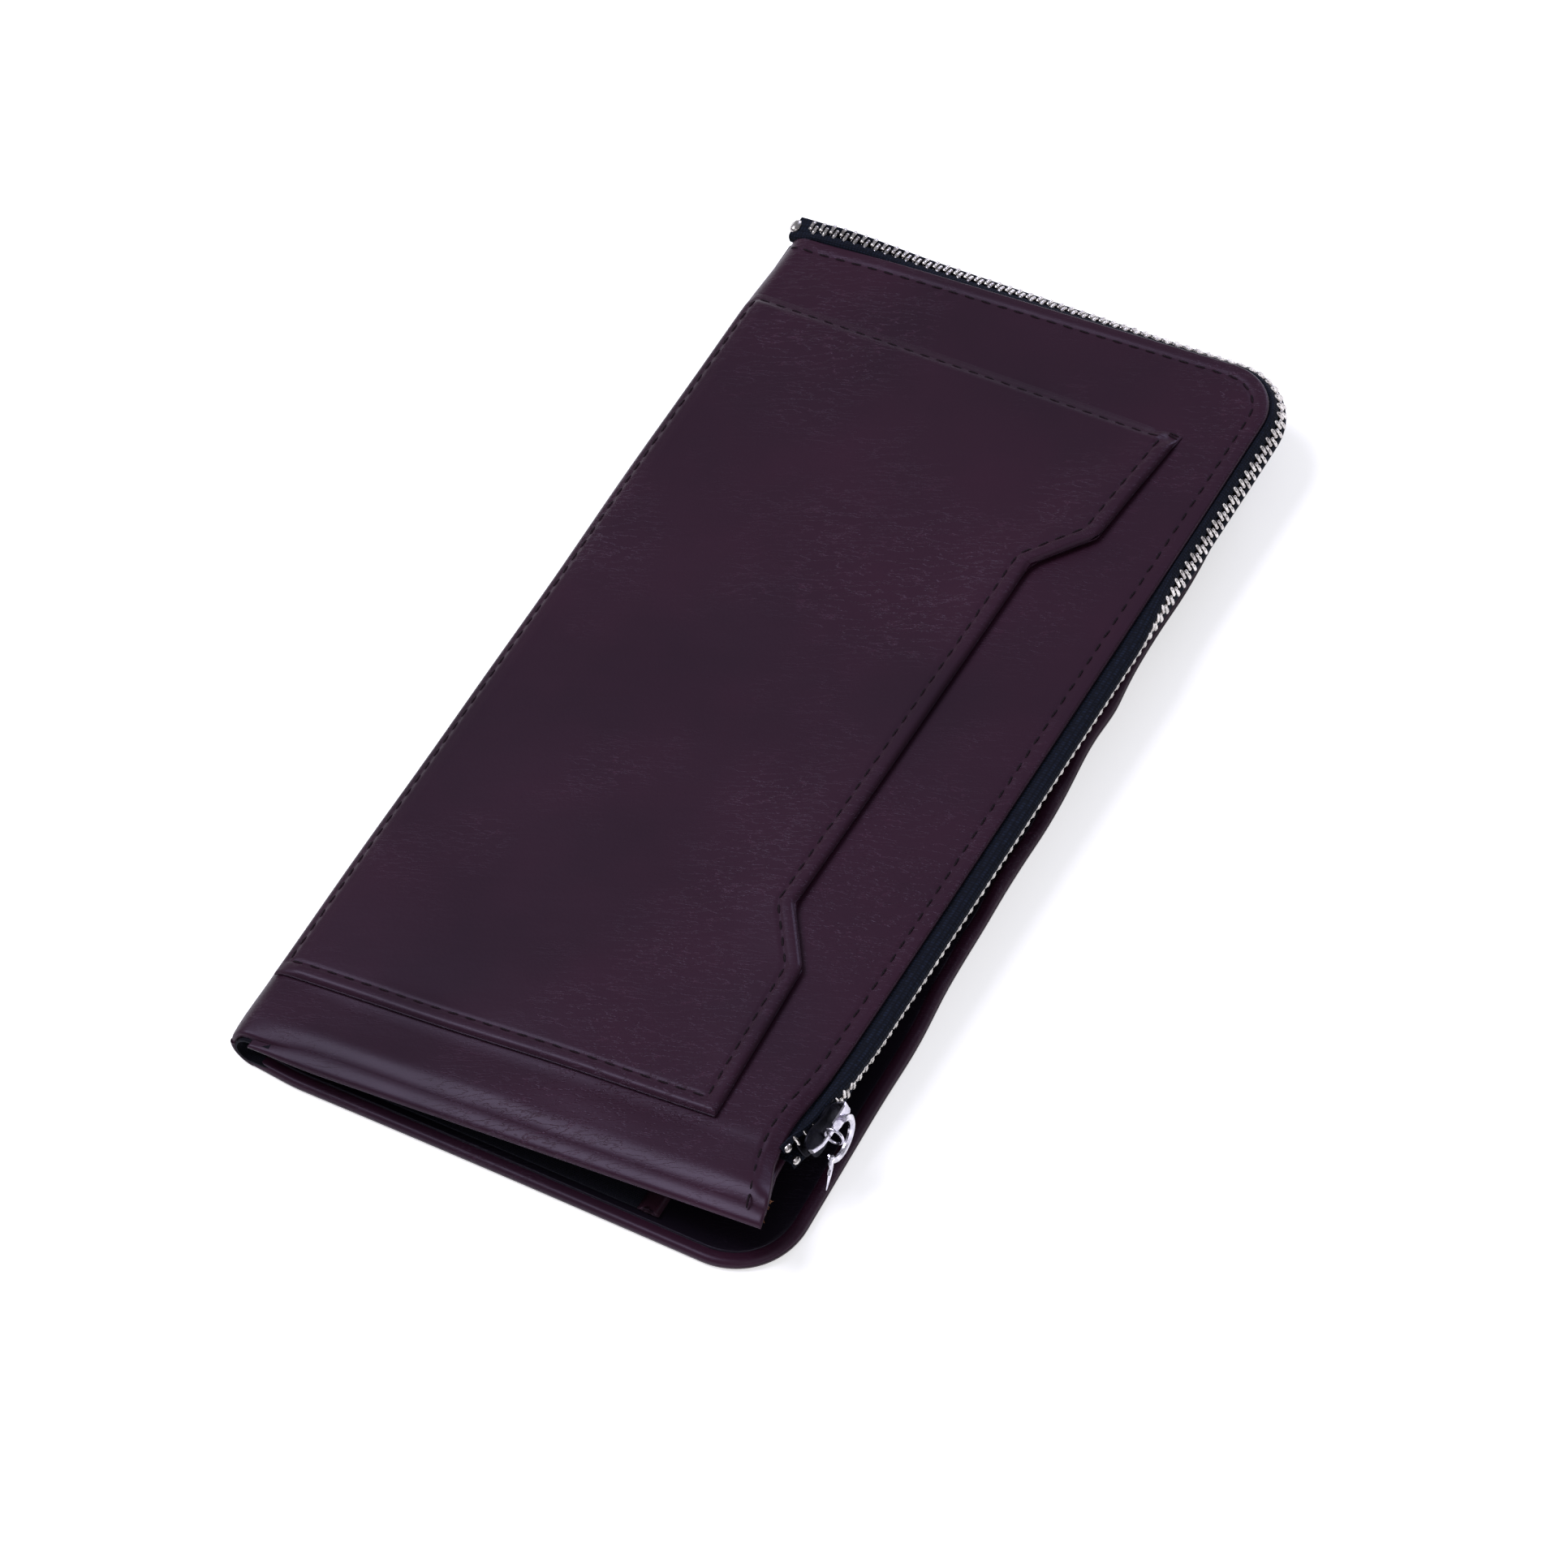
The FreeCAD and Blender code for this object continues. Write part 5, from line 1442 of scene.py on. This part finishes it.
    def rim_point(self, s: Array) -> Array:
        """The point of the front panel's outline beside each point of the chain."""
        route, leaves = self.route, self.leaves
        turn = np.clip((s - route.straight) / route.bend_radius, 0, math.pi / 2)
        over = np.maximum(s - route.straight - route.bend, 0)
        radius = self.panel.far_radius
        x = leaves.width - radius + radius * np.cos(turn) - over
        beside = -leaves.half + route.near_end + s
        y = np.where(s <= route.straight, beside, leaves.half - radius + radius * np.sin(turn))
        return np.stack([x, y, np.full_like(x, leaves.radius)], axis=-1)

    def back_tape(self) -> MeshObject:
        """The other tape, from its teeth down to the pouch's inner face."""
        route = self.route
        s = np.linspace(-2.0, route.length - 0.5, 260)
        middle, _, across, outward = route.frames(s)
        spread = route.spread(s)[:, None]
        edge = middle - across * (self.reach - 0.6 + self.back_spread * spread)
        neck = middle - across * (self.reach + 0.45 + self.back_spread * spread)
        out = outward.copy()
        out[:, 2] = 0
        out /= np.linalg.norm(out, axis=1, keepdims=True)
        rim = self.rim_point(s)
        foot = rim + out * (self.back.overhang - 0.25)
        foot[:, 2] = self.back.outer(rim[:, 0], rim[:, 1]) + self.back.thickness + 0.1
        root = foot - out * 5.0
        hip = 0.5 * (foot + neck) + out * 0.35
        return self.ribbon("zipper_tape_back_cloth", "zipper_tape_back", s, [edge, neck, hip, foot, root])

    def stop(self, s: float, low: float, high: float, half_length: float) -> tuple[Array, Array]:
        """A rounded block clamped on the chain: five rings of eight points along it."""
        middle, along, across, outward = self.route.frames(np.array([s - 0.01, s, s + 0.01]))
        place = np.linspace(-1, 1, 5) * half_length
        full = np.array([0.55, 0.95, 1.0, 0.95, 0.55])
        angles = np.linspace(0, math.tau, 8, endpoint=False) + math.pi / 8
        c = np.sign(np.cos(angles)) * np.abs(np.cos(angles)) ** 0.6
        d = np.sign(np.sin(angles)) * np.abs(np.sin(angles)) ** 0.6
        centre, reach = (low + high) / 2, (high - low) / 2
        a = centre + full[:, None] * reach * c[None, :]
        o = full[:, None] * 0.72 * d[None, :]
        spine = middle[1] + place[:, None, None] * along[1]
        points = spine + a[..., None] * across[1] + o[..., None] * outward[1]
        faces = grid_faces(5, 8, closed=True, flip=True)
        ends = np.array([[0, 3, 2, 1], [0, 7, 4, 3], [4, 7, 6, 5]])
        return points.reshape(-1, 3), np.concatenate([faces, ends[:, ::-1], ends + 32])

    def stops(self) -> list[MeshObject]:
        """The stop across both rows at the far end and one on each row at the slider's end."""
        groups = {
            ("zipper_bottom_stop_metal", "zipper_bottom_stop"): [(self.route.length - 0.9, -1.4, 1.4)],
            ("zipper_top_stops_metal", "zipper_top_stops"): [(-0.9, 1.0, 2.3), (-0.9, -1.7, -0.5)],
        }
        made = []
        for (name, node), blocks in groups.items():
            points, faces, first = [], [], 0
            for s, low, high in blocks:
                block, block_faces = self.stop(s, low, high, 0.85)
                points.append(self.leaves.front(block[:, 0], block[:, 1], block[:, 2]))
                faces.append(block_faces + first)
                first += len(block)
            piece = make_piece(name, np.concatenate(points), np.concatenate(faces), self.finishes.get(Finish.TEETH))
            self.dress(piece, node)
            made.append(piece)
        return made

    def build(self) -> list[MeshObject]:
        """Tapes, teeth and stops.

        Returns:
            The pieces.
        """
        front = self.teeth("zipper_teeth_front_row", "zipper_teeth_front", 1, 0.0)
        back = self.teeth("zipper_teeth_back_row", "zipper_teeth_back", -1, 0.5)
        return [self.front_tape(), self.back_tape(), front, back, *self.stops()]


# ------------------------------------------------------------------ back leaf
@dataclass
class BackLeaf:
    """The leaf that the wallet lies on: outer cover with a turned rim, facing, note pocket and card slots."""

    leaves: Leaves
    finishes: Finishes
    corner_radius: float = 13.0
    far_radius: float = 8.0
    end_angle: float = 90.0
    rim_height: float = 2.4
    near_rim_height: float = 2.0
    rim_width: float = 2.7
    near_skew: float = 2.6
    spine_setback: float = 1.3

    def stretch(self, a: Array, y: Array) -> Array:
        """Draws the near end out towards its free corner and in at the roll."""
        near = y + self.leaves.half
        out = self.near_skew * np.clip(a / self.leaves.back_near, 0, 1) ** 1.4
        out = out - self.spine_setback * (1 - smooth(a, -4, 10))
        return y - out * (1 - smooth(near, 0.0, 45.0))

    def side(self, y: Array) -> Array:
        """The free edge with the small waves of a soft turned edge."""
        wave = 0.30 * np.sin(y / 9.0 + 1.0) + 0.12 * np.sin(y / 4.3)
        bumps = 0.9 * bell(y, 84.0, 4.0) + 0.5 * bell(y, 30.0, 5.0)
        return self.leaves.back_edge(y) + (wave + bumps) * smooth(y, -70.0, -40.0)

    def lip(self, a: Array, y: Array, inset: float = 0.0, radius: Optional[float] = None) -> Array:
        """Distance inside the leaf's outline, drawn in by an inset."""
        radius = self.corner_radius if radius is None else radius
        half = self.leaves.half - inset
        return corner_distance(self.side(y) - inset - a, y + half, half - y, radius, self.far_radius)

    def cover(self) -> MeshObject:
        """Outer leather: flat underneath, with a full soft rim that is turned over the facing.

        Returns:
            The piece.
        """
        leaves = self.leaves
        start = -math.radians(self.end_angle) * leaves.radius
        rows = corner_rows(self.corner_radius, 30)
        y = row_positions(leaves.half, rows, rows, 1.3)
        pull = corner_pull(leaves.half - y, self.far_radius) + corner_pull(y + leaves.half, self.corner_radius)
        right = self.side(y) - pull
        steps = np.concatenate([edge_steps(1.2, 8), np.arange(1.5, 7.0, 0.4)])
        roll = np.linspace(0, -start + 1.0, 22)
        a = column_positions(np.full_like(y, start), right, roll, steps, 44)
        across = np.broadcast_to(y[:, None], a.shape)
        lip = self.lip(a, across)
        flat = smooth(a, 0.0, 5.0)
        growth = (self.rim_height - self.near_rim_height) * smooth(across + leaves.half, 2.0, 14.0)
        full = self.near_rim_height + growth
        rim = leaves.leather + 0.45 + (full - leaves.leather - 0.45) * flat * (
            1 - smooth(lip, self.rim_width - 0.9, self.rim_width + 0.6))
        rim = rim + 0.22 * flat * ripple(a, across, 31, 12.0) * bell(lip, 1.2, 1.8) * smooth(across, -60, -20)
        thick = np.where(a < 0, leaves.leather, rim)
        radius = np.minimum(thick * 0.46, 1.2)
        drop = radius - np.sqrt(np.maximum(radius ** 2 - np.clip(radius - lip, 0, None) ** 2, 0))
        across = self.stretch(a, across)
        outer = leaves.back_wrap(a, across, drop)
        inner = leaves.back_wrap(a, across, thick - drop)
        piece = make_shell("back_cover_leather", inner, outer, self.finishes.get(Finish.SHELL))
        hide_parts("back_cover")
        leaves.bend_back(piece)
        return piece

    def layer(self, name: str, node: str, finish: Finish, slot: str, sides: tuple[float, float],
              ends: float, base: float, thickness: float, follow: bool = False, seed: int = 0,
              puff: float = 0.0) -> MeshObject:
        """One flat layer on the back leaf.

        Args:
            name: Name of the piece.
            node: CAD node that it stands for.
            finish: Its finish.
            slot: The record's material slot; not used.
            sides: Its left side and its right side, the right side as an inset where it follows the free edge.
            ends: Distance inside the leaf's two ends.
            base: Height of its underside.
            thickness: Its thickness.
            follow: True when its right side follows the leaf's free edge and round corners.
            seed: Which ripple it has.
            puff: How much fuller its middle is.

        Returns:
            The piece.
        """
        half = self.leaves.half - ends
        left, right_value = sides
        radius = self.corner_radius - right_value if follow else 0.6
        near = np.concatenate([edge_steps(thickness * 0.48, 5), [0.9, 1.5, 2.4, 3.5]])
        rows = np.unique(np.concatenate([near, corner_rows(radius, 18)])) if follow else near
        rows = rows[rows < max(radius, near[-1]) + 0.01]
        y = row_positions(half, rows, rows, 2.0)
        pull = corner_pull(half - y, radius) + corner_pull(y + half, radius)
        right = self.side(y) - right_value - pull if follow else np.full_like(y, right_value)
        a = column_positions(np.full_like(y, left), right, near, near, 30)
        across = np.broadcast_to(y[:, None], a.shape)
        if follow:
            lip = corner_distance(self.side(across) - right_value - a, across + half, half - across, radius, radius)
        else:
            lip = np.minimum(right_value - a, np.minimum(across + half, half - across))
        lip = np.maximum(np.minimum(lip, a - left), 0)
        drop = edge_drop(lip, thickness * 0.48)
        swell = puff * smooth(lip, 0.0, 6.0) + 0.05 * ripple(a, across, seed, 25.0) * smooth(lip, 0, 4)
        uv = np.stack([a, across], axis=-1)
        across = self.stretch(a, across)
        lower = self.leaves.back_wrap(a, across, base + drop)
        upper = self.leaves.back_wrap(a, across, base + thickness - drop + np.maximum(swell, 0))
        piece = make_shell(name, upper, lower, self.finishes.get(finish), uv)
        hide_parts(node)
        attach(piece, "back_leaf")
        return piece

    def build(self) -> list[MeshObject]:
        """All layers of the back leaf, from the outside in.

        Returns:
            The pieces.
        """
        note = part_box("note_pocket_panel")
        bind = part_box("note_pocket_binding")
        centre = self.leaves.centre[0]
        made = [self.cover()]
        made.append(self.layer("back_inner_facing_leather", "back_inner_facing", Finish.INNER, "inner_leather",
                               (1.6, 2.1), 2.1, 1.62, 0.62, follow=True, seed=51, puff=0.12))
        made.append(self.layer("note_pocket_cloth", "note_pocket_panel", Finish.LINING, "lining_fabric",
                               (1.6, bind[0].x / MM - centre + 0.5), 3.2, note[0].z / MM + 0.1, 0.34, seed=52,
                               puff=0.06))
        made.append(self.layer("note_pocket_edge_binding", "note_pocket_binding", Finish.BINDING,
                               "binding_leather", (bind[0].x / MM - centre, bind[1].x / MM - centre), 3.0,
                               bind[0].z / MM + 0.02, 1.1, seed=53, puff=0.2))
        for i, node in enumerate(("card_slot_lower", "card_slot_middle", "card_slot_upper")):
            low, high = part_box(node)
            made.append(self.layer(node + "_leather", node, Finish.INNER, "inner_leather",
                                   (low.x / MM - centre, high.x / MM - centre), self.leaves.half - high.y / MM,
                                   low.z / MM + 0.04, 0.42, seed=60 + i))
        board = frame["nodes"]["back_stiffener"]
        board.data.materials.clear()
        board.data.materials.append(self.finishes.get(Finish.BOARD))
        return made


@dataclass
class FoldLining:
    """Navy cloth inside the spine's roll, in two pieces that meet at the middle of the spine."""

    leaves: Leaves
    finishes: Finishes
    depth: float = 1.28
    thickness: float = 0.35
    reach: float = 4.0

    def half_piece(self, name: str, upper_half: bool) -> MeshObject:
        """One half of the lining, from the middle of the spine on to its leaf.

        Args:
            name: Name of the piece.
            upper_half: True for the half on the front leaf.

        Returns:
            The piece.
        """
        leaves = self.leaves
        angle = 90.0 - (leaves.tilt if upper_half else 0.0)
        a = np.linspace(-math.radians(angle) * leaves.radius, self.reach, 26)
        y = np.linspace(-leaves.half + 0.9, leaves.half - 0.9, 150)
        grid_a, grid_y = np.meshgrid(a, y)
        sag = 0.12 * (1 + ripple(grid_a * 0.5, grid_y, 71, 10.0))
        wrap = leaves.front_wrap if upper_half else leaves.back_wrap
        sign = -1.0 if upper_half else 1.0
        outer = wrap(grid_a, grid_y, sign * (self.depth + sag))
        inner = wrap(grid_a, grid_y, sign * (self.depth + self.thickness + sag))
        uv = np.stack([grid_a, grid_y], axis=-1)
        first, second = (outer, inner) if upper_half else (inner, outer)
        piece = make_shell(name, first, second, self.finishes.get(Finish.LINING), uv)
        if upper_half:
            leaves.bend_front(piece)
        else:
            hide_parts("spine_lining")
            leaves.bend_back(piece)
        return piece

    def build(self) -> list[MeshObject]:
        """Both halves."""
        return [self.half_piece("fold_lining_upper_cloth", True), self.half_piece("fold_lining_lower_cloth", False)]


# ------------------------------------------------------------------ hardware
@dataclass
class Hardware:
    """The slider with its strap, the wire link and the ring pull with its tail."""

    route: ChainRoute
    leaves: Leaves
    finishes: Finishes
    half_length: float = 5.1
    nose: float = 2.2
    tail: float = 1.6
    wing: float = 0.5
    gap: float = 0.77

    def __post_init__(self) -> None:
        """Reads the link's hinge, the slider's middle from its box and its three axes from the leaf's tilt."""
        joints = {joint["name"]: joint for joint in frame["joints"]}
        self.pull_hinge = np.array(joints["pull_swing"]["pos_m"]) / MM
        low, high = (np.array(corner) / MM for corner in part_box("slider_body"))
        tilt = math.radians(self.leaves.tilt + 25.0)
        self.outward = np.array([math.cos(tilt), 0.0, math.sin(tilt)])
        self.across = np.array([-math.sin(tilt), 0.0, math.cos(tilt)])
        self.along = np.array([0.0, 1.0, 0.0])
        self.middle = (low + high) / 2

    def place(self, points: Array) -> Array:
        """Points given as (along, across, outward) in the wallet's frame."""
        return self.middle + points @ np.stack([self.along, self.across, self.outward])

    def slab(self, outline: Array, low: float, high: float, round_by: float) -> tuple[Array, Array]:
        """A plate of an outline with rounded edges: rings that step in near both faces, and a fan on each.

        Args:
            outline: Corners as (along, across).
            low: Height of its lower face.
            high: Height of its upper face.
            round_by: Radius of its edges.

        Returns:
            Points and faces.
        """
        middle = outline.mean(axis=0)
        bend = np.linspace(0, math.pi / 2, 4)
        insets = round_by * (1 - np.sin(bend))
        heights = low + round_by * (1 - np.cos(bend))
        insets = np.concatenate([insets, insets[::-1]])
        heights = np.concatenate([heights, (low + high) - heights[::-1]])
        reach = np.linalg.norm(outline - middle, axis=1, keepdims=True)
        rings = [np.column_stack([middle + (outline - middle) * (1 - inset / reach), np.full(len(outline), height)])
                 for inset, height in zip(insets, heights)]
        count = len(outline)
        points = np.concatenate(rings + [[[*middle, low]], [[*middle, high]]])
        faces = grid_faces(len(rings), count, closed=True).tolist()
        base, first = len(points) - 2, (len(rings) - 1) * count
        for i in range(count):
            j = (i + 1) % count
            faces.append([j, i, base])
            faces.append([first + i, first + j, base + 1])
        return points, faces

    def smooth_outline(self, corners: Sequence[Sequence[float]]) -> Array:
        """An outline with every corner cut twice."""
        line = np.array(corners, float)
        for _ in range(2):
            after = np.roll(line, -1, axis=0)
            line = np.stack([0.75 * line + 0.25 * after, 0.25 * line + 0.75 * after], axis=1).reshape(-1, 2)
        return line

    def join(self, name: str, node: str, body: str, blocks: Sequence[tuple[Array, list]], finish: Finish,
             shade_smooth: bool = True) -> MeshObject:
        """One piece from several blocks of points in the wallet's frame."""
        points, faces, first = [], [], 0
        for block, block_faces in blocks:
            points.append(block)
            faces += [[i + first for i in face] for face in block_faces]
            first += len(block)
        material = self.finishes.get(finish)
        piece = make_piece(name, np.concatenate(points), faces, material, shade_smooth=shade_smooth)
        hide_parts(node)
        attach(piece, body)
        return piece

    def slider(self) -> MeshObject:
        """Two wings that narrow to the tail, the post between them at the nose, and lips along the tail."""
        h, n, t = self.half_length, self.nose, self.tail
        shape = self.smooth_outline([(-h, -n * 0.7), (-h * 0.75, -n), (-h * 0.3, -n), (0.6, -t), (h, -t),
                                     (h, t), (0.6, t), (-h * 0.3, n), (-h * 0.75, n), (-h, n * 0.7)])
        post = self.smooth_outline([(-h + 0.4, 0.0), (-h + 1.5, -0.6), (-h + 2.6, 0.0), (-h + 1.5, 0.6)])
        gap, wing = self.gap, self.wing
        blocks = [self.slab(shape, gap, gap + wing, 0.16), self.slab(shape, -gap - wing, -gap, 0.16),
                  self.slab(post, -gap, gap, 0.05)]
        for side in (-1, 1):
            lip = [(0.9, side * t), (h - 0.1, side * t), (h - 0.1, side * (t - 0.3)), (0.9, side * (t - 0.3))]
            lip = np.array(lip if side < 0 else lip[::-1])
            blocks += [self.slab(lip, gap - 0.38, gap, 0.04), self.slab(lip, -gap, -gap + 0.38, 0.04)]
        blocks = [(self.place(points), faces) for points, faces in blocks]
        return self.join("slider_body_metal", "slider_body", "slider", blocks, Finish.DARK_METAL)

    def strap(self) -> MeshObject:
        """A wide plate over the tail that narrows to a bar and bends down to the nose."""
        foot, crown = self.gap + self.wing, self.gap + self.wing + 1.75
        h = self.half_length - 0.25
        along = np.array([h, h, h - 0.15, h - 0.6, 2.5, 0.9, 0.35, 0.0, -1.5, -3.6, -h + 0.5, -h + 0.1, -h])
        height = np.array([foot - 0.05, crown - 0.9, crown - 0.35, crown - 0.12, crown, crown - 0.02, crown - 0.1,
                           crown - 0.14, crown - 0.1, crown - 0.3, crown - 0.8, crown - 1.2, foot - 0.05])
        half = np.array([0.84, 0.85, 0.86, 0.88, 0.90, 0.90, 0.86, 0.42, 0.34, 0.34, 0.35, 0.40, 0.46])
        slope = np.gradient(np.stack([along, height], axis=1), axis=0)
        slope /= np.linalg.norm(slope, axis=1, keepdims=True)
        normal = np.stack([slope[:, 1], -slope[:, 0]], axis=1)
        thick, corner = 0.46, 0.1
        ring = np.array([(-1, 0, corner), (-1, 0, thick - corner), (-1, corner, thick), (1, -corner, thick),
                         (1, 0, thick - corner), (1, 0, corner), (1, -corner, 0), (-1, corner, 0)])
        side = ring[None, :, 0] * half[:, None] + ring[None, :, 1]
        depth = ring[None, :, 2] - thick
        lengthwise = along[:, None] - normal[:, :1] * depth
        out = np.stack([lengthwise, side, height[:, None] - normal[:, 1:] * depth], axis=-1)
        points = out.reshape(-1, 3)
        faces = grid_faces(len(along), 8, closed=True, flip=True).tolist()
        last = (len(along) - 1) * 8
        faces += [list(range(8)), [last + i for i in range(7, -1, -1)]]
        return self.join("slider_strap_metal", "slider_bridge", "slider", [(self.place(points), faces)],
                         Finish.HARDWARE, shade_smooth=False)

    def link(self) -> MeshObject:
        """A ring of round wire that hangs from the strap's bar."""
        low, high = (np.array(corner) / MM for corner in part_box("pull_link"))
        centre = (low + high) / 2
        turn = np.linspace(0, math.tau, 33)
        radius, wire = (high[0] - low[0]) / 2 - 0.27, 0.27
        path = centre + np.stack([radius * np.cos(turn), 0 * turn, radius * np.sin(turn)], axis=1)
        points, faces = self.ring(path[:-1], wire)
        return self.join("pull_link_wire", "pull_link", "link", [(points, faces)], Finish.HARDWARE)

    def ring(self, path: Array, wire: float) -> tuple[Array, list]:
        """A closed ring of round wire whose path lies square to the leaf's length."""
        along = np.roll(path, -1, axis=0) - np.roll(path, 1, axis=0)
        along /= np.linalg.norm(along, axis=1, keepdims=True)
        side = np.broadcast_to(self.along, along.shape)
        up = np.cross(along, side)
        angles = np.linspace(0, math.tau, 8, endpoint=False)
        ring = np.cos(angles)[None, :, None] * side[:, None] + np.sin(angles)[None, :, None] * up[:, None]
        points = (path[:, None] + wire * ring).reshape(-1, 3)
        count = len(path)
        i, j = np.meshgrid(np.arange(count), np.arange(8), indexing="ij")
        a, b = i * 8 + j, i * 8 + (j + 1) % 8
        c, d = ((i + 1) % count) * 8 + (j + 1) % 8, ((i + 1) % count) * 8 + j
        return points, np.stack([a, b, c, d], axis=-1).reshape(-1, 4)[:, ::-1].tolist()

    def pull(self) -> MeshObject:
        """A flat faceted crescent, a short bar from its lower end, and a kinked tail that narrows to a point.

        The crescent lies in a plane square to X. The line between its two ends slopes up towards the far end
        through the pull's hinge, and the crescent bulges away from it.
        """
        lean = math.radians(45.0)
        bar_way = np.array([0.0, math.cos(lean), math.sin(lean)])
        bow_way = np.array([0.0, math.sin(lean), -math.cos(lean)])
        face = np.array([1.0, 0.0, 0.0])
        half, radius = 3.29, 3.6
        open_half = math.asin(half / radius)
        centre = self.pull_hinge + bow_way * radius * math.cos(open_half)
        turn = np.linspace(open_half, math.tau - open_half, 40)
        outward = np.cos(turn)[:, None] * -bow_way + np.sin(turn)[:, None] * bar_way
        middle = centre + outward * radius
        width = 0.40 + 0.42 * np.sin(np.linspace(0, math.pi, 40))
        ring = np.array([(-1, 0.35), (-0.45, 0.95), (0.35, 1.0), (1, 0.35), (1, -0.35), (0.35, -1.0),
                         (-0.45, -0.95), (-1, -0.35)])
        points = (middle[:, None] + outward[:, None] * (ring[None, :, :1] * width[:, None, None])
                  + face * ring[None, :, 1:] * 0.5).reshape(-1, 3)
        faces = grid_faces(40, 8, closed=True).tolist()
        faces += [[7, 6, 5, 4, 3, 2, 1, 0], [39 * 8 + i for i in range(8)]]
        corner = self.pull_hinge - half * bar_way
        bar_path = corner + np.linspace(0, 1, 12)[:, None] * np.array([-0.7, 0.35, 0.05])
        bar = tube(bar_path, np.full(12, 0.27), 8, normal=np.array([0.0, 0.0, 1.0]))
        tail_way = np.array([[0, 0.3, 0.3], [0, -0.3, -0.9], [0, -0.35, -2.1], [0, -1.0, -3.0], [0, -1.7, -4.4],
                             [0.0, -2.3, -5.5]])
        tail = tube(corner + tail_way, np.array([0.5, 0.62, 0.46, 0.5, 0.3, 0.12]), 8, 0.7, normal=face)
        blocks = [(points, faces), (bar[0], without_doubles(bar[1])), (tail[0], without_doubles(tail[1]))]
        return self.join("pull_ring_metal", "pull_drop", "pull", blocks, Finish.HARDWARE, shade_smooth=False)

    def build(self) -> list[MeshObject]:
        """All four pieces.

        Returns:
            The pieces.
        """
        return [self.slider(), self.strap(), self.link(), self.pull()]


# ------------------------------------------------------------------ studio
@dataclass
class Studio:
    """A pale floor, soft light from all round, and the camera."""

    leaves: Leaves
    finishes: Finishes
    azimuth: float = 36.163
    elevation: float = 48.007
    roll: float = -10.4595
    distance: float = 1654.65
    aim: tuple[float, float] = (55.466, -15.107)
    lens: float = 233.31
    sensor: float = 36.0

    def camera(self) -> None:
        """Puts the camera at its angle to the front leaf's face, a long lens far away."""
        a, e, r = (math.radians(v) for v in (self.azimuth, self.elevation, self.roll))
        back = np.array([math.sin(a) * math.cos(e), -math.cos(a) * math.cos(e), math.sin(e)])
        right = np.array([math.cos(a), math.sin(a), 0.0])
        up = np.cross(back, right)
        side = right * math.cos(r) + up * math.sin(r)
        top = up * math.cos(r) - right * math.sin(r)
        place = np.array([self.aim[0], self.aim[1], self.leaves.radius]) + back * self.distance
        turn = Matrix.Rotation(math.radians(-self.leaves.tilt), 3, "Y")
        axes = Matrix((side, top, back)).transposed()
        position = self.leaves.front(*place) * MM
        data = bpy.data.cameras.new("camera")
        data.lens = self.lens
        data.sensor_width = self.sensor
        data.clip_start = 0.1
        data.clip_end = 20.0
        camera = bpy.data.objects.new("camera", data)
        camera.matrix_world = Matrix.Translation(Vector(position)) @ (turn @ axes).to_4x4()
        bpy.context.scene.collection.objects.link(camera)
        bpy.context.scene.camera = camera

    def floor(self) -> None:
        """A wide flat floor just under the wallet."""
        side = 6000.0
        points = np.array([[-side, -side, 0], [side, -side, 0], [side, side, 0], [-side, side, 0]])
        floor = make_piece("studio_floor", points, [[0, 1, 2, 3]], self.finishes.get(Finish.FLOOR))

    def lamp(self, name: str, place: Sequence[float], size: float, power: float,
             colour: Sequence[float]) -> None:
        """A square soft light that faces the wallet."""
        data = bpy.data.lights.new(name, "AREA")
        data.size = size
        data.energy = power
        data.color = colour
        lamp = bpy.data.objects.new(name, data)
        lamp.location = place
        lamp.rotation_euler = (-Vector(place)).to_track_quat("-Z", "Y").to_euler()
        bpy.context.scene.collection.objects.link(lamp)

    def build(self) -> None:
        """Sets up camera, floor, sky and lamps."""
        self.camera()
        self.floor()
        world = bpy.data.worlds.new("soft_sky")
        world.use_nodes = True
        sky = world.node_tree.nodes["Background"]
        sky.inputs["Color"].default_value = (0.92, 0.93, 1.0, 1.0)
        sky.inputs["Strength"].default_value = 0.30
        bpy.context.scene.world = world
        bpy.context.scene.view_settings.view_transform = "Standard"
        self.lamp("left_softbox", (-1.25, -0.25, 2.0), 1.3, 46.0, (0.88, 0.86, 1.0))
        self.lamp("front_softbox", (1.5, -1.3, 1.9), 2.2, 14.0, (0.97, 0.96, 1.0))
        self.lamp("far_softbox", (0.1, 2.2, 0.9), 0.9, 14.0, (0.72, 0.72, 1.0))


def main() -> None:
    """Builds the wallet's pieces in order, then the studio."""
    logging.basicConfig(level=logging.INFO, format="%(name)s: %(message)s")
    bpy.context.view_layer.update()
    leaves = Leaves()
    finishes = Finishes()
    panel = FrontPanel(leaves, finishes)
    pocket = SlipPocket(panel, leaves, finishes)
    pouch = PouchBack(panel, leaves, finishes)
    route = ChainRoute(leaves, panel)
    pieces = [panel.build(), pocket.build()]
    pieces += Seams(panel, pocket, leaves, finishes).build()
    pieces += pouch.build()
    pieces += RawFibres(panel, leaves, finishes).build()
    pieces += Zipper(route, panel, pouch, leaves, finishes).build()
    pieces += BackLeaf(leaves, finishes).build()
    pieces += FoldLining(leaves, finishes).build()
    pieces += Hardware(route, leaves, finishes).build()
    for piece in pieces:
        LOG.info("%s: %d faces", piece.name, len(piece.data.polygons))
    Studio(leaves, finishes).build()


if __name__ == "__main__":
    main()
